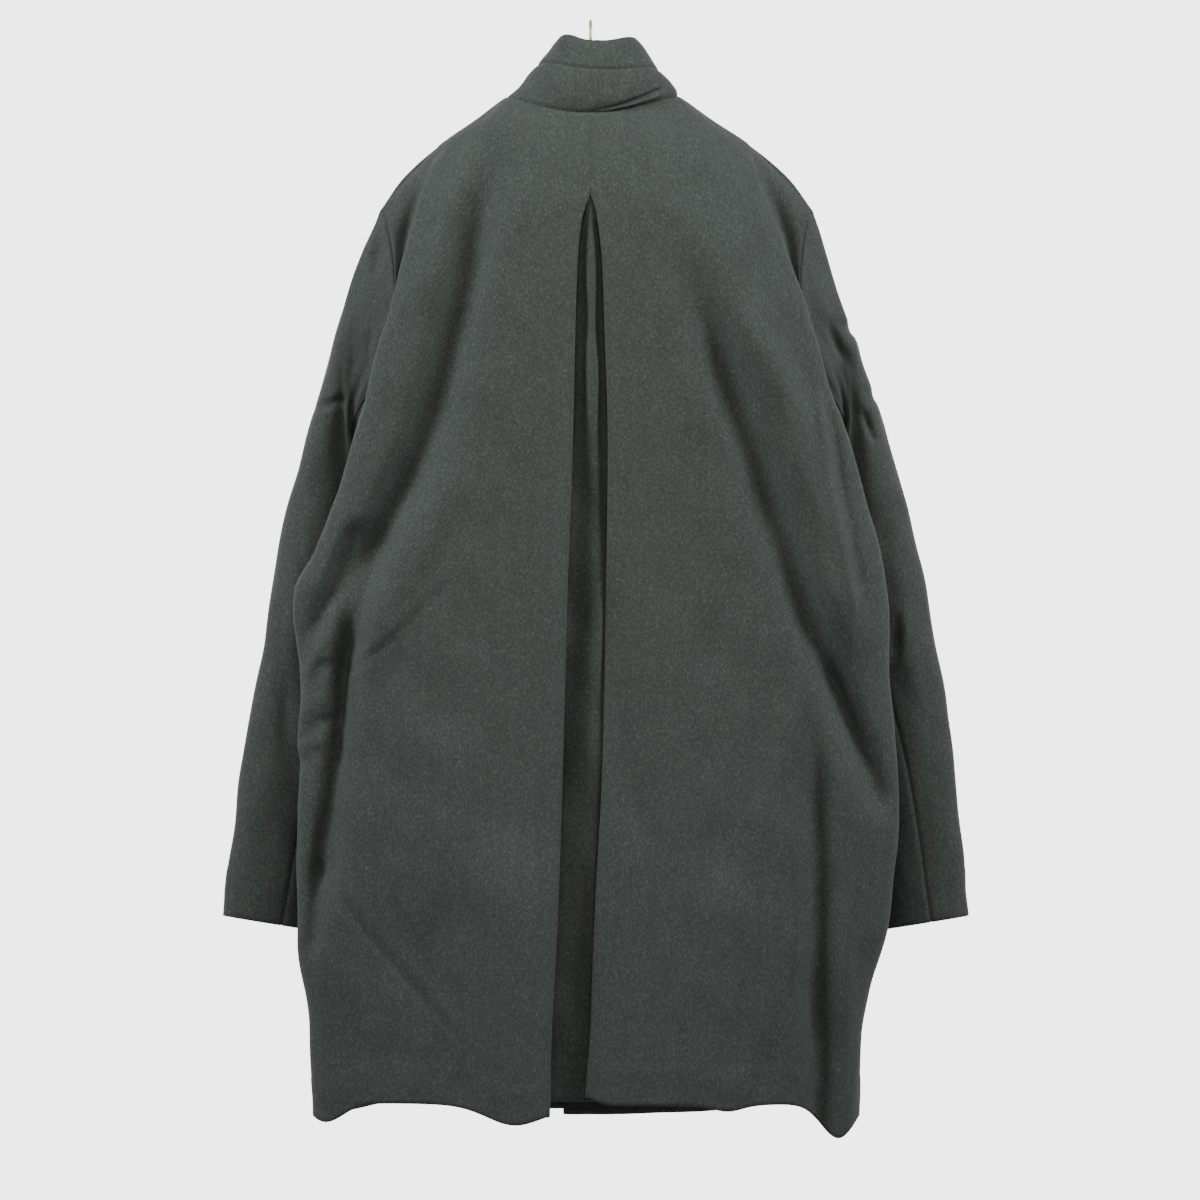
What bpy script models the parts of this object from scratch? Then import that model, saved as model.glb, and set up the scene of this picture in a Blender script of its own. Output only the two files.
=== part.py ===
import math

import bmesh
import bpy
import numpy as np

MM = 0.001

# Cloth and seams
CLOTH = 2.0 * MM
SEAM_GAP = 0.5 * MM
SEAM_INSIDE_GAP = 1.6 * MM
MITRE_LIMIT = 0.7
UNDERARM_FACING = (0.63, -0.14, -0.9)

# Heights, measured down from the place where the hook hangs on its rod
NECK_BACK = 92 * MM
NECK_SIDE = 71 * MM
NECK_FRONT = 146 * MM
SHOULDER_TIP = 175 * MM
UNDERARM = 374 * MM
HEM = 1017 * MM
FRONT_HEM_EXTRA = 29 * MM

# Depths of the hanging body
SHOULDER_ROUND = 140 * MM
ARMHOLE_BACK = 35 * MM
ARMHOLE_FRONT = 28 * MM
ARMHOLE_SCOOP = 18 * MM
FRONT_SCOOP_SHARE = 1.6
ARMHOLE_HOLLOW = 8 * MM
RIGHT_TIP_SHARE = 1.056
SEAM_BEHIND_RIDGE = 8 * MM
SLEEVE_HEAD_LIFT = 16 * MM
FRONT_LAP = 26 * MM
LAP_STEP = 5.5 * MM
LAP_STEP_START = 30 * MM
LAP_STEP_END = 75 * MM

# Pleat
FOLD_RADIUS = 2.8 * MM
PLEAT_RETURN = 34 * MM
PLEAT_SINK = 12 * MM
PLEAT_TOP_ROW = 4
RETURN_TUCK = 4 * MM
UNDERLAY_CLEARANCE = 0.7 * MM
UNDERLAY_SHORTER = 3 * MM

# Grid of the body, in rows down from the shoulder and columns out from the centre
ARM_ROWS = 11
BODY_ROWS = 14
NECK_COLUMNS = 9
MAIN_COLUMNS = 16
TURN_COLUMNS = 3
BEND_COLUMNS = 4
RETURN_COLUMNS = 2
UNDERLAY_COLUMNS = 8
FRONT_NECK_COLUMNS = 8
SLEEVE_ROWS = 15
BACK_SLEEVE_SEAM = 7
FRONT_SLEEVE_SEAM = 15
SEAM_SWING_SPREAD = 1.3
OUTER_LINE_KEPT = 0.6

# Hanger and buttons
BAR_HALF_LENGTH = 152 * MM
BAR_HALF_DEPTH = 9 * MM
BAR_WIDER = 7 * MM
BAR_HALF_HEIGHT = 8 * MM
BAR_CLEARANCE = 0.7 * MM
BAR_NECK_DIP = 4 * MM
BAR_TIP_DIP = 2 * MM
BAR_PEAK = 0.45
WIRE_RADIUS = 1.6 * MM
HOOK_RADIUS = 17.6 * MM
HOOK_START_DEG = 200
HOOK_END_DEG = -70
HOOK_BEND_DROP = 3.2 * MM
HOOK_SHANK_DROP = 9 * MM
HOOK_FOOT_SEAT = 0.4 * MM
BUTTON_RADIUS = 11 * MM
BUTTON_THICKNESS = 3.6 * MM
BUTTON_SEAT = 0.4 * MM
BUTTON_SIDES = 14
BUTTON_DROPS = (179 * MM, 309 * MM, 439 * MM, 569 * MM, 699 * MM)


def table(columns, *rows):
    """Short table in millimetres, kept in metres; columns of degrees and shares keep their numbers."""
    names = columns.split()
    kept = [1.0 if name.endswith(("deg", "share")) else MM for name in names]
    return {name: np.array([row[i] for row in rows]) * kept[i] for i, name in enumerate(names)}


# Height of the shoulder line over its distance from the centre
SHOULDER = table(
    "out drop",
    (0, 40),
    (49, 55),
    (81, 71),
    (108, 91),
    (148, 119),
    (179, 147),
    (199, 175),
)

# Outermost line of the back: the ridge beside the armhole, then the side of the body
SIDE = table(
    "drop left right",
    (117, 143, 148),
    (187, 164, 170),
    (267, 186, 200),
    (339, 207, 222),
    (415, 228, 249),
    (500, 259, 272),
    (548, 278, 281),
    (605, 280, 282),
    (681, 278, 287),
    (746, 279, 292),
    (857, 277, 280),
    (947, 265, 256),
    (1028, 261, 253),
)

# Depth of the body at the centre back, the ridge, the centre front, the front's flank and the side seam
DEPTH = table(
    "drop back ridge front flank seam",
    (64, 73, 50, -66, -44, -30),
    (264, 79, 48, -70, -46, -30),
    (374, 77, 40, -68, -36, -30),
    (484, 74, 30, -66, -16, -13),
    (584, 74, 24, -67, -5, -4),
    (764, 77, 22, -71, -3, -3),
    (1054, 86, 26, -80, -3, -3),
)

# Edges of the pleat, measured from the centre line towards each side
PLEAT = table(
    "drop left right",
    (64, 0.2, 0.2),
    (175, 0.3, 0.3),
    (238, 11, 11),
    (405, 16.5, 15),
    (643, 24, 12),
    (833, 33, 4),
    (1029, 37, -4),
)

# Main folds of the back, ridges positive and valleys negative, each through three places
BACK_FOLDS = table(
    "side_share top_out top_drop mid_out mid_drop low_out low_drop half_width height",
    (1, 104, 149, 156, 377, 280, 614, 22, -18),
    (1, 130, 414, 186, 534, 258, 654, 22, 8),
    (1, 220, 524, 234, 681, 262, 864, 18, -12),
    (1, 70, 744, 66, 914, 62, 1164, 42, 10),
    (1, 165, 794, 160, 924, 160, 1164, 45, -7),
    (1, 14, 294, 26, 664, 40, 1264, 18, 7),
    (-1, 94, 204, 178, 484, 283, 764, 20, -17),
    (-1, 140, 254, 212, 434, 262, 624, 22, 9),
    (-1, 208, 604, 212, 738, 206, 1164, 22, -12),
    (-1, 110, 764, 120, 914, 125, 1164, 40, 6),
)

# Main folds of the two fronts
FRONT_FOLDS = table(
    "side_share top_out top_drop mid_out mid_drop low_out low_drop half_width height",
    (1, 105, 384, 98, 714, 92, 1214, 34, -8),
    (1, 170, 444, 178, 724, 190, 1214, 32, 7),
    (-1, 95, 344, 104, 684, 112, 1214, 36, -8),
    (-1, 178, 484, 186, 744, 196, 1214, 30, 7),
)

# Places where the hem hangs lower
HEM_DIPS = table(
    "side_share out half_width drop",
    (1, 70, 36, 17),
    (1, 250, 26, 20),
    (-1, 232, 24, 34),
    (-1, 128, 18, 5),
)

# Sleeve: its outer and inner line from the armhole to the cuff, and the fullness of its two faces
SLEEVE = table(
    "drop left right y in_drop in_left in_right in_y back front twist_deg",
    (264, 235, 240, -20, 409, 224, 243, -62, 22, 42, 12),
    (369, 264, 276, -38, 486, 204, 222, -92, 28, 44, 24),
    (479, 294, 307, -46, 569, 197, 212, -104, 34, 44, 30),
    (604, 315, 333, -48, 661, 209, 227, -106, 35, 40, 31),
    (724, 337, 350, -46, 763, 231, 244, -98, 33, 37, 29),
    (851, 352, 362, -42, 872, 246, 256, -88, 30, 33, 25),
)

# How far the sleeve's back seam swings outwards along the sleeve, from its place on the armhole
SEAM_SWING = table(
    "share left_deg right_deg",
    (0, 0, 0),
    (0.1, -26, -26),
    (0.3, -18, -12),
    (0.55, 15, 40),
    (0.8, 31, 53),
    (1.0, 35, 56),
)

# Main folds of the sleeves: place around the sleeve from its outer line, and along it from the armhole
SLEEVE_FOLDS = table(
    "side_share top_deg low_deg start_share end_share half_width_deg height",
    (1, 62, 75, 0.10, 0.46, 16, -8),
    (1, 30, 52, 0.30, 0.75, 14, 4),
    (-1, 58, 78, 0.12, 0.50, 16, -8),
    (-1, 30, 50, 0.32, 0.80, 14, 4),
    (1, 285, 262, 0.25, 0.85, 20, -6),
    (-1, 285, 262, 0.25, 0.85, 20, -6),
)

# Collar, from its top edge down to just above the neck seam: rise over the seam and reach from its centre
COLLAR = table(
    "back_rise side_rise front_rise half_width back_y front_y centre",
    (69, 51, 64, 39, 42, -70, -7),
    (64, 47, 59, 44, 46, -73, -7),
    (53.5, 39, 48, 51, 51, -75, -7),
    (41.5, 30, 35, 59, 55, -76, -7),
    (26.5, 18, 20, 69, 59, -74, -7),
    (12, 9, 8, 75, 60, -70, -6),
)
COLLAR_SEAM_ROW = 3

# Turned profile of a button, from the middle of its underside round to the middle of its face
BUTTON_PROFILE = table(
    "out_share high_share",
    (0, 0),
    (0.82, 0),
    (1.0, 0.3),
    (1.0, 0.72),
    (0.93, 1.0),
    (0.78, 1.0),
    (0.66, 0.7),
    (0, 0.7),
)


# Helpers

def smooth(keys, values, at):
    """Value of a smooth curve through a table's column that never overshoots its rows."""
    steps = np.diff(values) / np.diff(keys)
    slopes = np.append(np.append(steps[0], np.zeros(len(keys) - 2)), steps[-1])
    same = steps[:-1] * steps[1:] > 0
    mean = 2 * steps[:-1] * steps[1:] / np.where(same, steps[:-1] + steps[1:], 1.0)
    slopes[1:-1] = np.where(same, mean, 0.0)
    at = np.clip(np.asarray(at, float), keys[0], keys[-1])
    i = np.clip(np.searchsorted(keys, at) - 1, 0, len(keys) - 2)
    span = keys[i + 1] - keys[i]
    t = (at - keys[i]) / span
    rise = values[i + 1] - values[i]
    ease = t * t * (3 - 2 * t)
    bend = t * (1 - t) * ((1 - t) * slopes[i] - t * slopes[i + 1]) * span
    return values[i] + rise * ease + bend


def ramp(at, start, end):
    """Soft step from 0 to 1."""
    t = np.clip((np.asarray(at, float) - start) / (end - start), 0, 1)
    return t * t * (3 - 2 * t)


def word(side):
    return "left" if side > 0 else "right"


def between(start, end, share):
    return start + (end - start) * share


def row_levels():
    """How far each row has sunk from the shoulder to the underarm, and from there to the hem."""
    sink = (1 - np.cos(np.linspace(0, math.pi, ARM_ROWS + 1))) / 2
    lower = np.arange(1, BODY_ROWS + 1) / BODY_ROWS
    return np.append(sink, np.ones(BODY_ROWS)), np.append(np.zeros(ARM_ROWS + 1), lower)


# Body form

def tip_out(side):
    return SHOULDER["out"][-1] * (1.0 if side > 0 else RIGHT_TIP_SHARE)


def shoulder_drop(side, out):
    return smooth(SHOULDER["out"], SHOULDER["drop"], np.abs(out) * SHOULDER["out"][-1] / tip_out(side))


def ridge_out(side, drop):
    return smooth(SIDE["drop"], SIDE[word(side)], drop)


def depth(column, drop):
    return smooth(DEPTH["drop"], DEPTH[column], drop)


def shoulder_share(side, out, drop):
    """Grows from 0 on the shoulder line to 1 where the back hangs free of it."""
    fall = np.clip((drop - shoulder_drop(side, out)) / SHOULDER_ROUND, 0, 1)
    return np.sqrt(1 - (1 - fall) ** 2)


def fold_height(folds, side, out, drop):
    total = np.zeros(np.broadcast(out, drop).shape)
    for i in np.flatnonzero(folds["side_share"] == side):
        keys = np.array([folds[k + "_drop"][i] for k in ("top", "mid", "low")])
        line = np.array([folds[k + "_out"][i] for k in ("top", "mid", "low")])
        centre = smooth(keys, line, drop)
        end = 0.22 * (keys[2] - keys[0])
        fade = ramp(drop, keys[0], keys[0] + end) * (1 - ramp(drop, keys[2] - end, keys[2]))
        total = total + folds["height"][i] * fade * np.exp(-((out - centre) / folds["half_width"][i]) ** 2)
    return total


def back_y(side, out, drop):
    """Depth of the back's outer face at a place out from the centre line."""
    ridge = depth("ridge", drop)
    share = np.clip(np.abs(out) / ridge_out(side, drop), 0, 1)
    arch = ridge + (depth("back", drop) - ridge) * np.sqrt(1 - share ** 2.6)
    loose = shoulder_share(side, out, drop)
    return loose * (arch + fold_height(BACK_FOLDS, side, out, drop))


def seam_line(side, drop):
    """Side seam, just round the corner of the body."""
    out = ridge_out(side, drop) - SEAM_BEHIND_RIDGE
    return np.stack([side * out, depth("seam", drop), -drop], -1)


def armhole(side, sink, face):
    """Armhole edge from the shoulder tip to the underarm, on the back or front face."""
    tip = np.array([side * tip_out(side), 0, -SHOULDER_TIP])
    low = seam_line(side, np.array(UNDERARM))
    middle = 4 * np.clip(sink * (1 - sink), 0, None)
    points = tip + (low - tip) * np.asarray(sink)[..., None]
    reach = ARMHOLE_BACK if face > 0 else -ARMHOLE_FRONT
    points[..., 1] += reach * middle ** 0.8
    points[..., 0] -= side * ARMHOLE_SCOOP * middle * (1.0 if face > 0 else FRONT_SCOOP_SHARE)
    return points


def outer_edge(side, face):
    """Armhole and side seam of one panel, a point for each row."""
    sink, lower = row_levels()
    edge = armhole(side, sink, face)
    drop = between(UNDERARM, HEM, lower[ARM_ROWS + 1:])
    drop = drop + hem_dip(side, ridge_out(side, drop), lower[ARM_ROWS + 1:])
    edge[ARM_ROWS + 1:] = seam_line(side, drop)
    return edge


def hem_dip(side, out, lower):
    dip = np.zeros(np.broadcast(out, lower).shape)
    for i in np.flatnonzero(HEM_DIPS["side_share"] == side):
        dip = dip + HEM_DIPS["drop"][i] * np.exp(-((out - HEM_DIPS["out"][i]) / HEM_DIPS["half_width"][i]) ** 2)
    return dip * lower ** 3


def shoulder_seam(side):
    """Points of the shoulder seam from the neck to the tip, shared by back and front."""
    ridge = SIDE[word(side)][0]
    inner = np.linspace(ridge * NECK_COLUMNS / MAIN_COLUMNS, ridge, MAIN_COLUMNS - NECK_COLUMNS + 1)
    outer = np.linspace(ridge, tip_out(side), TURN_COLUMNS + 1)
    out = np.append(inner, outer[1:])
    return np.stack([side * out, 0 * out, -shoulder_drop(side, out)], -1)


def hollow_depth(sink):
    """Depth of the hollow between the ridge and the armhole, below the shoulder."""
    return ARMHOLE_HOLLOW * ramp(sink, 0.03, 0.3) * (1 - ramp(sink, 0.42, 0.6))


def turn_row(side, start, end, sink):
    """Part of a back row from the ridge round to the armhole or the side seam."""
    chord = end - start
    size = np.linalg.norm(chord)
    down = np.array([0.1 * side, -1, 0]) * size
    inward = np.array([-0.3 * side, -1, 0]) * size
    leave = between(chord, down, ramp(sink, 0.0, 0.12)) - chord
    arrive = between(chord, inward, ramp(sink, 0.25, 1.0)) - chord
    t = np.linspace(0, 1, TURN_COLUMNS + 1)[1:, None]
    turned = start + chord * t + t * (1 - t) * ((1 - t) * leave - t * arrive)
    turned[:, 1] -= hollow_depth(sink) * (6.75 * t * (1 - t) ** 2)[:, 0]
    return turned


def back_panel(side):
    """Outer face of one back: pleat return, fold, main part and the turn at the side."""
    sink, lower = row_levels()
    edge = outer_edge(side, 1)
    seam = shoulder_seam(side)
    share = np.arange(MAIN_COLUMNS + 1) / MAIN_COLUMNS
    neck = np.minimum(share * MAIN_COLUMNS / NECK_COLUMNS, 1)
    rows = []
    for row, (sunk, low) in enumerate(zip(sink, lower)):
        ridge_drop = between(SIDE["drop"][0], UNDERARM, sunk) + (HEM - UNDERARM) * low
        ridge = ridge_out(side, ridge_drop)
        centre_drop = between(NECK_BACK, UNDERARM, sunk) + (HEM - UNDERARM) * low
        fold = smooth(PLEAT["drop"], PLEAT[word(side)], centre_drop)
        out = between(fold + FOLD_RADIUS, ridge, share)
        top = between(NECK_BACK, NECK_SIDE, 1 - np.cos(neck * math.pi / 2))
        flat = SIDE[word(side)][0] * share
        top = np.where(neck < 1, top, shoulder_drop(side, flat))
        drop = between(top, UNDERARM, sunk) + (HEM - UNDERARM) * low + hem_dip(side, out, low)
        if row == 0:
            out[NECK_COLUMNS:] = side * seam[: MAIN_COLUMNS - NECK_COLUMNS + 1, 0]
        y = back_y(side, out, drop)
        main = np.stack([side * out, y, -drop], -1)
        turned = turn_row(side, main[-1], edge[row], sunk)
        turned[-1] = edge[row]
        if row == 0:
            main[NECK_COLUMNS:] = seam[: MAIN_COLUMNS - NECK_COLUMNS + 1]
            turned = seam[MAIN_COLUMNS - NECK_COLUMNS + 1:]
        angle = np.linspace(1.5, 0.5, BEND_COLUMNS + 1)[:-1] * math.pi
        bend_out = fold + FOLD_RADIUS + FOLD_RADIUS * np.cos(angle)
        bend_y = y[0] - FOLD_RADIUS + FOLD_RADIUS * np.sin(angle)
        bend = np.stack([side * bend_out, bend_y, 0 * angle - drop[0]], -1)
        back = fold + FOLD_RADIUS + PLEAT_RETURN * np.linspace(1, 0, RETURN_COLUMNS + 1)[:-1]
        back_drop = np.interp(back, out, drop) + (RETURN_TUCK if row == 0 else 0.0)
        under = back_y(side, back, back_drop) - 2 * FOLD_RADIUS
        returned = np.stack([side * back, under, -back_drop], -1)
        rows.append(np.concatenate([returned, bend, main, turned]))
    return np.array(rows)


def front_y(side, out, drop, near):
    """Depth of the front's outer face where it hangs free of the shoulder."""
    middle = depth("front", drop)
    arch = between(middle, depth("flank", drop), near ** 1.8)
    return arch - fold_height(FRONT_FOLDS, side, out, drop)


def front_panel(side):
    """Outer face of one front, from its overlapped edge to the armhole and side seam."""
    sink, lower = row_levels()
    edge = outer_edge(side, -1)
    seam = shoulder_seam(side)
    columns = FRONT_NECK_COLUMNS + len(seam) - 1
    even = np.arange(columns + 1) / columns
    neck = np.linspace(0, 1, FRONT_NECK_COLUMNS + 1)
    neck_out = np.sin(neck * math.pi / 2) * abs(seam[0, 0])
    first = np.append(between(-FRONT_LAP, neck_out, ramp(neck, 0.0, 0.6)), side * seam[1:, 0])
    first_share = (first + FRONT_LAP) / (first[-1] + FRONT_LAP)
    neck_share = np.abs(first[: FRONT_NECK_COLUMNS + 1] / seam[0, 0])
    top = np.append(between(NECK_FRONT, NECK_SIDE, neck_share ** 1.7), -seam[1:, 2])
    rows = []
    for row, (sunk, low) in enumerate(zip(sink, lower)):
        reach = side * edge[row, 0]
        share = between(first_share, even, ramp(sunk, 0, 0.5))
        out = between(-FRONT_LAP, reach, share)
        near = np.abs(out) / reach
        drop = between(top, UNDERARM, sunk) + (HEM - UNDERARM + FRONT_HEM_EXTRA * (1 - near ** 2)) * low
        drop = drop + (-edge[row, 2] - drop[-1]) * ramp(near, 0.7, 1.0)
        y = shoulder_share(side, out, drop) * front_y(side, out, drop, near)
        y = y + (edge[row, 1] - y[-1]) * ramp(near, 0.6, 1.0)
        if side < 0:
            y = y + LAP_STEP * (1 - ramp(out, LAP_STEP_START, LAP_STEP_END))
        points = np.stack([side * out, y, -drop], -1)
        points[-1] = edge[row]
        if row == 0:
            points[FRONT_NECK_COLUMNS:] = seam
        rows.append(points)
    return np.array(rows)


# Sleeves

def sleeve_stations(side):
    """Armhole and the sleeve table together, as columns over the share of the sleeve's length."""
    tip = armhole(side, np.array(0.0), 1)
    low = armhole(side, np.array(1.0), 1)
    outer = np.stack([side * SLEEVE[word(side)], SLEEVE["y"], -SLEEVE["drop"]], -1)
    inner = np.stack([side * SLEEVE["in_" + word(side)], SLEEVE["in_y"], -SLEEVE["in_drop"]], -1)
    outer = np.vstack([tip, outer])
    inner = np.vstack([low, inner])
    back = np.append(ARMHOLE_BACK, SLEEVE["back"])
    front = np.append(ARMHOLE_FRONT, SLEEVE["front"])
    twist = np.radians(np.append(0.0, SLEEVE["twist_deg"]))
    steps = np.linalg.norm(np.diff((outer + inner) / 2, axis=0), axis=1)
    along = np.append(0, np.cumsum(steps)) / steps.sum()
    return along, outer, inner, back, front, twist


def sleeve_fold(side, angle, share):
    total = 0 * angle
    for i in np.flatnonzero(SLEEVE_FOLDS["side_share"] == side):
        begin = SLEEVE_FOLDS["start_share"][i]
        end = SLEEVE_FOLDS["end_share"][i]
        t = np.clip((share - begin) / (end - begin), 0, 1)
        centre = between(SLEEVE_FOLDS["top_deg"][i], SLEEVE_FOLDS["low_deg"][i], t)
        away = (np.degrees(angle) - centre) / SLEEVE_FOLDS["half_width_deg"][i]
        total = total + SLEEVE_FOLDS["height"][i] * math.sin(math.pi * t) ** 2 * np.exp(-away ** 2)
    return total


def ring_angles(side, share):
    """Angles of a ring's points, shifted near the back seam so that it swings as its table says."""
    even = np.linspace(0, 2 * math.pi, 2 * ARM_ROWS + 1)
    away = (even - even[BACK_SLEEVE_SEAM]) / SEAM_SWING_SPREAD
    near = np.exp(-away ** 2) * ramp(even, 0, OUTER_LINE_KEPT)
    swing = smooth(SEAM_SWING["share"], SEAM_SWING[word(side) + "_deg"], share)
    return even - math.radians(swing) * near


def sleeve_tube(side):
    """Outer face of a sleeve: rings from the armhole to the cuff, starting at the outer line."""
    along, outer, inner, back, front, twist = sleeve_stations(side)
    rings = []
    for share in np.linspace(0, 1, SLEEVE_ROWS + 1) ** 1.1:
        angle = ring_angles(side, share)
        sink = (1 - np.cos(angle)) / 2
        rise = np.sin(angle)
        scoop = ARMHOLE_SCOOP * rise ** 2 * np.where(rise > 0, 1.0, FRONT_SCOOP_SHARE)
        top = np.array([smooth(along, outer[:, k], share) for k in range(3)])
        low = np.array([smooth(along, inner[:, k], share) for k in range(3)])
        turn = smooth(along, twist, share)
        face = np.array([-side * math.sin(turn), math.cos(turn), 0])
        full = np.where(rise > 0, smooth(along, back, share), smooth(along, front, share))
        centre = (top + low) / 2
        bulge = np.sign(rise) * np.abs(rise) ** between(1.6, 1.0, ramp(share, 0, 0.2))
        ring = top + (low - top) * sink[:, None] + face * (full * bulge)[:, None]
        ring[:, 0] -= side * scoop * (1 - ramp(share, 0, 0.22))
        lift = ramp(share, 0, 0.07) * (1 - ramp(share, 0.08, 0.45))
        ring[:, 0] += side * SLEEVE_HEAD_LIFT * lift * sink ** 0.5 * np.clip(rise, 0, 1) ** 0.5
        away = ring - centre
        away = away / np.linalg.norm(away, axis=1)[:, None]
        ring = ring + away * sleeve_fold(side, angle, share)[:, None]
        rings.append(ring)
    rings = np.array(rings)
    rings[0, : ARM_ROWS + 1] = outer_edge(side, 1)[: ARM_ROWS + 1]
    rings[0, ARM_ROWS:] = outer_edge(side, -1)[ARM_ROWS::-1]
    return rings


# Collar and pleat underlay

def collar_bands(panels):
    """Outer face of the collar, from its top edge down to the neck seam."""
    halves = []
    for side in (-1, 1):
        back = panels["back_" + word(side)]
        skip = RETURN_COLUMNS + BEND_COLUMNS
        first = back[0, skip: skip + NECK_COLUMNS + 1]
        front = panels["front_" + word(side)][0, : FRONT_NECK_COLUMNS + 1]
        halves.append(np.concatenate([first, front[-2::-1]]))
    neck = np.concatenate([halves[0][::-1], halves[1]])
    middle = (neck[:, 0].max() + neck[:, 0].min()) / 2
    half = (neck[:, 0].max() - neck[:, 0].min()) / 2
    behind = neck[:, 1] > 0
    reach = np.where(behind, neck[:, 1].max(), neck[:, 1].min())
    lean = np.clip(neck[:, 1] / reach, 0, 1)
    rows = []
    for i in range(len(COLLAR["half_width"])):
        end = np.where(behind, COLLAR["back_rise"][i], COLLAR["front_rise"][i])
        rise = between(COLLAR["side_rise"][i], end, lean)
        deep = np.where(behind, COLLAR["back_y"][i], COLLAR["front_y"][i])
        x = COLLAR["centre"][i] + (neck[:, 0] - middle) / half * COLLAR["half_width"][i]
        rows.append(np.stack([x, neck[:, 1] / reach * deep, neck[:, 2] + rise], -1))
    return np.array(rows + [neck])


def pleat_strip():
    """Right side of the pleat's underlay, behind the two folded edges."""
    sink, lower = row_levels()
    rows = []
    for row in range(PLEAT_TOP_ROW, len(sink)):
        drop = between(NECK_BACK, UNDERARM, sink[row]) + (HEM - UNDERARM) * lower[row]
        drop = drop - UNDERLAY_SHORTER * lower[row] ** 3
        ends = []
        for side in (-1, 1):
            ends.append(side * (smooth(PLEAT["drop"], PLEAT[word(side)], drop) + PLEAT_RETURN))
        share = np.linspace(0, 1, UNDERLAY_COLUMNS + 1)
        x = between(ends[0], ends[1], share)
        level = np.minimum(back_y(-1, x, drop), back_y(1, x, drop))
        sunk = PLEAT_SINK * ramp(drop, 0.164, 0.564) * np.sin(math.pi * share)
        y = level - 2 * FOLD_RADIUS - UNDERLAY_CLEARANCE - sunk
        rows.append(np.stack([x, y, 0 * x - drop], -1))
    return np.array(rows)


# Walls

def outward(grids):
    """Mean face direction at each point, taken over all pieces that meet there."""
    found = {}
    for grid in grids.values():
        across = grid[:-1, 1:] - grid[1:, :-1]
        along = grid[1:, 1:] - grid[:-1, :-1]
        normal = np.cross(across, along)
        size = np.linalg.norm(normal, axis=-1, keepdims=True)
        normal = normal / np.maximum(size, 1e-12)
        for r in range(normal.shape[0]):
            for c in range(normal.shape[1]):
                for point in (grid[r, c], grid[r, c + 1], grid[r + 1, c], grid[r + 1, c + 1]):
                    found.setdefault(tuple(point), []).append(normal[r, c])
    mean = {}
    for key, normals in found.items():
        total = np.mean(normals, axis=0)
        size = max(np.linalg.norm(total), MITRE_LIMIT)
        mean[key] = total / size ** 2
    return mean


def pull_in(grid, edges, size):
    """Moves the sewn edges of a face in from the seam."""
    moved = grid.copy()
    inner = {"top": (0, 1), "low": (-1, -2)}
    for name, (edge, near) in inner.items():
        if name in edges:
            step = grid[near] - grid[edge]
            moved[edge] += step / np.linalg.norm(step, axis=-1, keepdims=True) * size
    inner = {"start": (0, 1), "end": (-1, -2)}
    for name, (edge, near) in inner.items():
        if name in edges:
            step = grid[:, near] - grid[:, edge]
            moved[:, edge] += step / np.linalg.norm(step, axis=-1, keepdims=True) * size
    return moved


def wall(name, grid, mean, edges, material):
    """Closed wall of cloth under an outer face."""
    rows, columns = grid.shape[:2]
    normal = np.array([[mean[tuple(point)] for point in line] for line in grid])
    outer = pull_in(grid, edges, SEAM_GAP / 2)
    inner = pull_in(grid - normal * CLOTH, edges, SEAM_INSIDE_GAP / 2)
    points = np.concatenate([outer.reshape(-1, 3), inner.reshape(-1, 3)])
    under = rows * columns
    faces = []
    for r in range(rows - 1):
        for c in range(columns - 1):
            a = r * columns + c
            quad = (a, a + columns, a + columns + 1, a + 1)
            faces.append(quad)
            faces.append(tuple(under + i for i in reversed(quad)))
    rim = list(range(columns))
    rim += [r * columns + columns - 1 for r in range(1, rows)]
    rim += [(rows - 1) * columns + c for c in range(columns - 2, -1, -1)]
    rim += [r * columns for r in range(rows - 2, 0, -1)]
    for a, b in zip(rim, rim[1:] + rim[:1]):
        faces.append((a, b, under + b, under + a))
    return add_mesh(name, points, faces, material)


def add_mesh(name, points, faces, material):
    mesh = bpy.data.meshes.new(name)
    mesh.from_pydata([tuple(p) for p in points], [], faces)
    form = bmesh.new()
    form.from_mesh(mesh)
    bmesh.ops.recalc_face_normals(form, faces=form.faces)
    bmesh.ops.triangulate(form, faces=form.faces, quad_method="BEAUTY")
    form.to_mesh(mesh)
    form.free()
    mesh.materials.append(material)
    piece = bpy.data.objects.new(name, mesh)
    bpy.context.scene.collection.objects.link(piece)
    return piece


def paint(name, colour, roughness, metallic=0.0):
    material = bpy.data.materials.new(name)
    material.use_nodes = True
    shader = material.node_tree.nodes["Principled BSDF"]
    shader.inputs["Base Color"].default_value = (*colour, 1.0)
    shader.inputs["Roughness"].default_value = roughness
    shader.inputs["Metallic"].default_value = metallic
    return material


# Hanger and buttons

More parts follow.
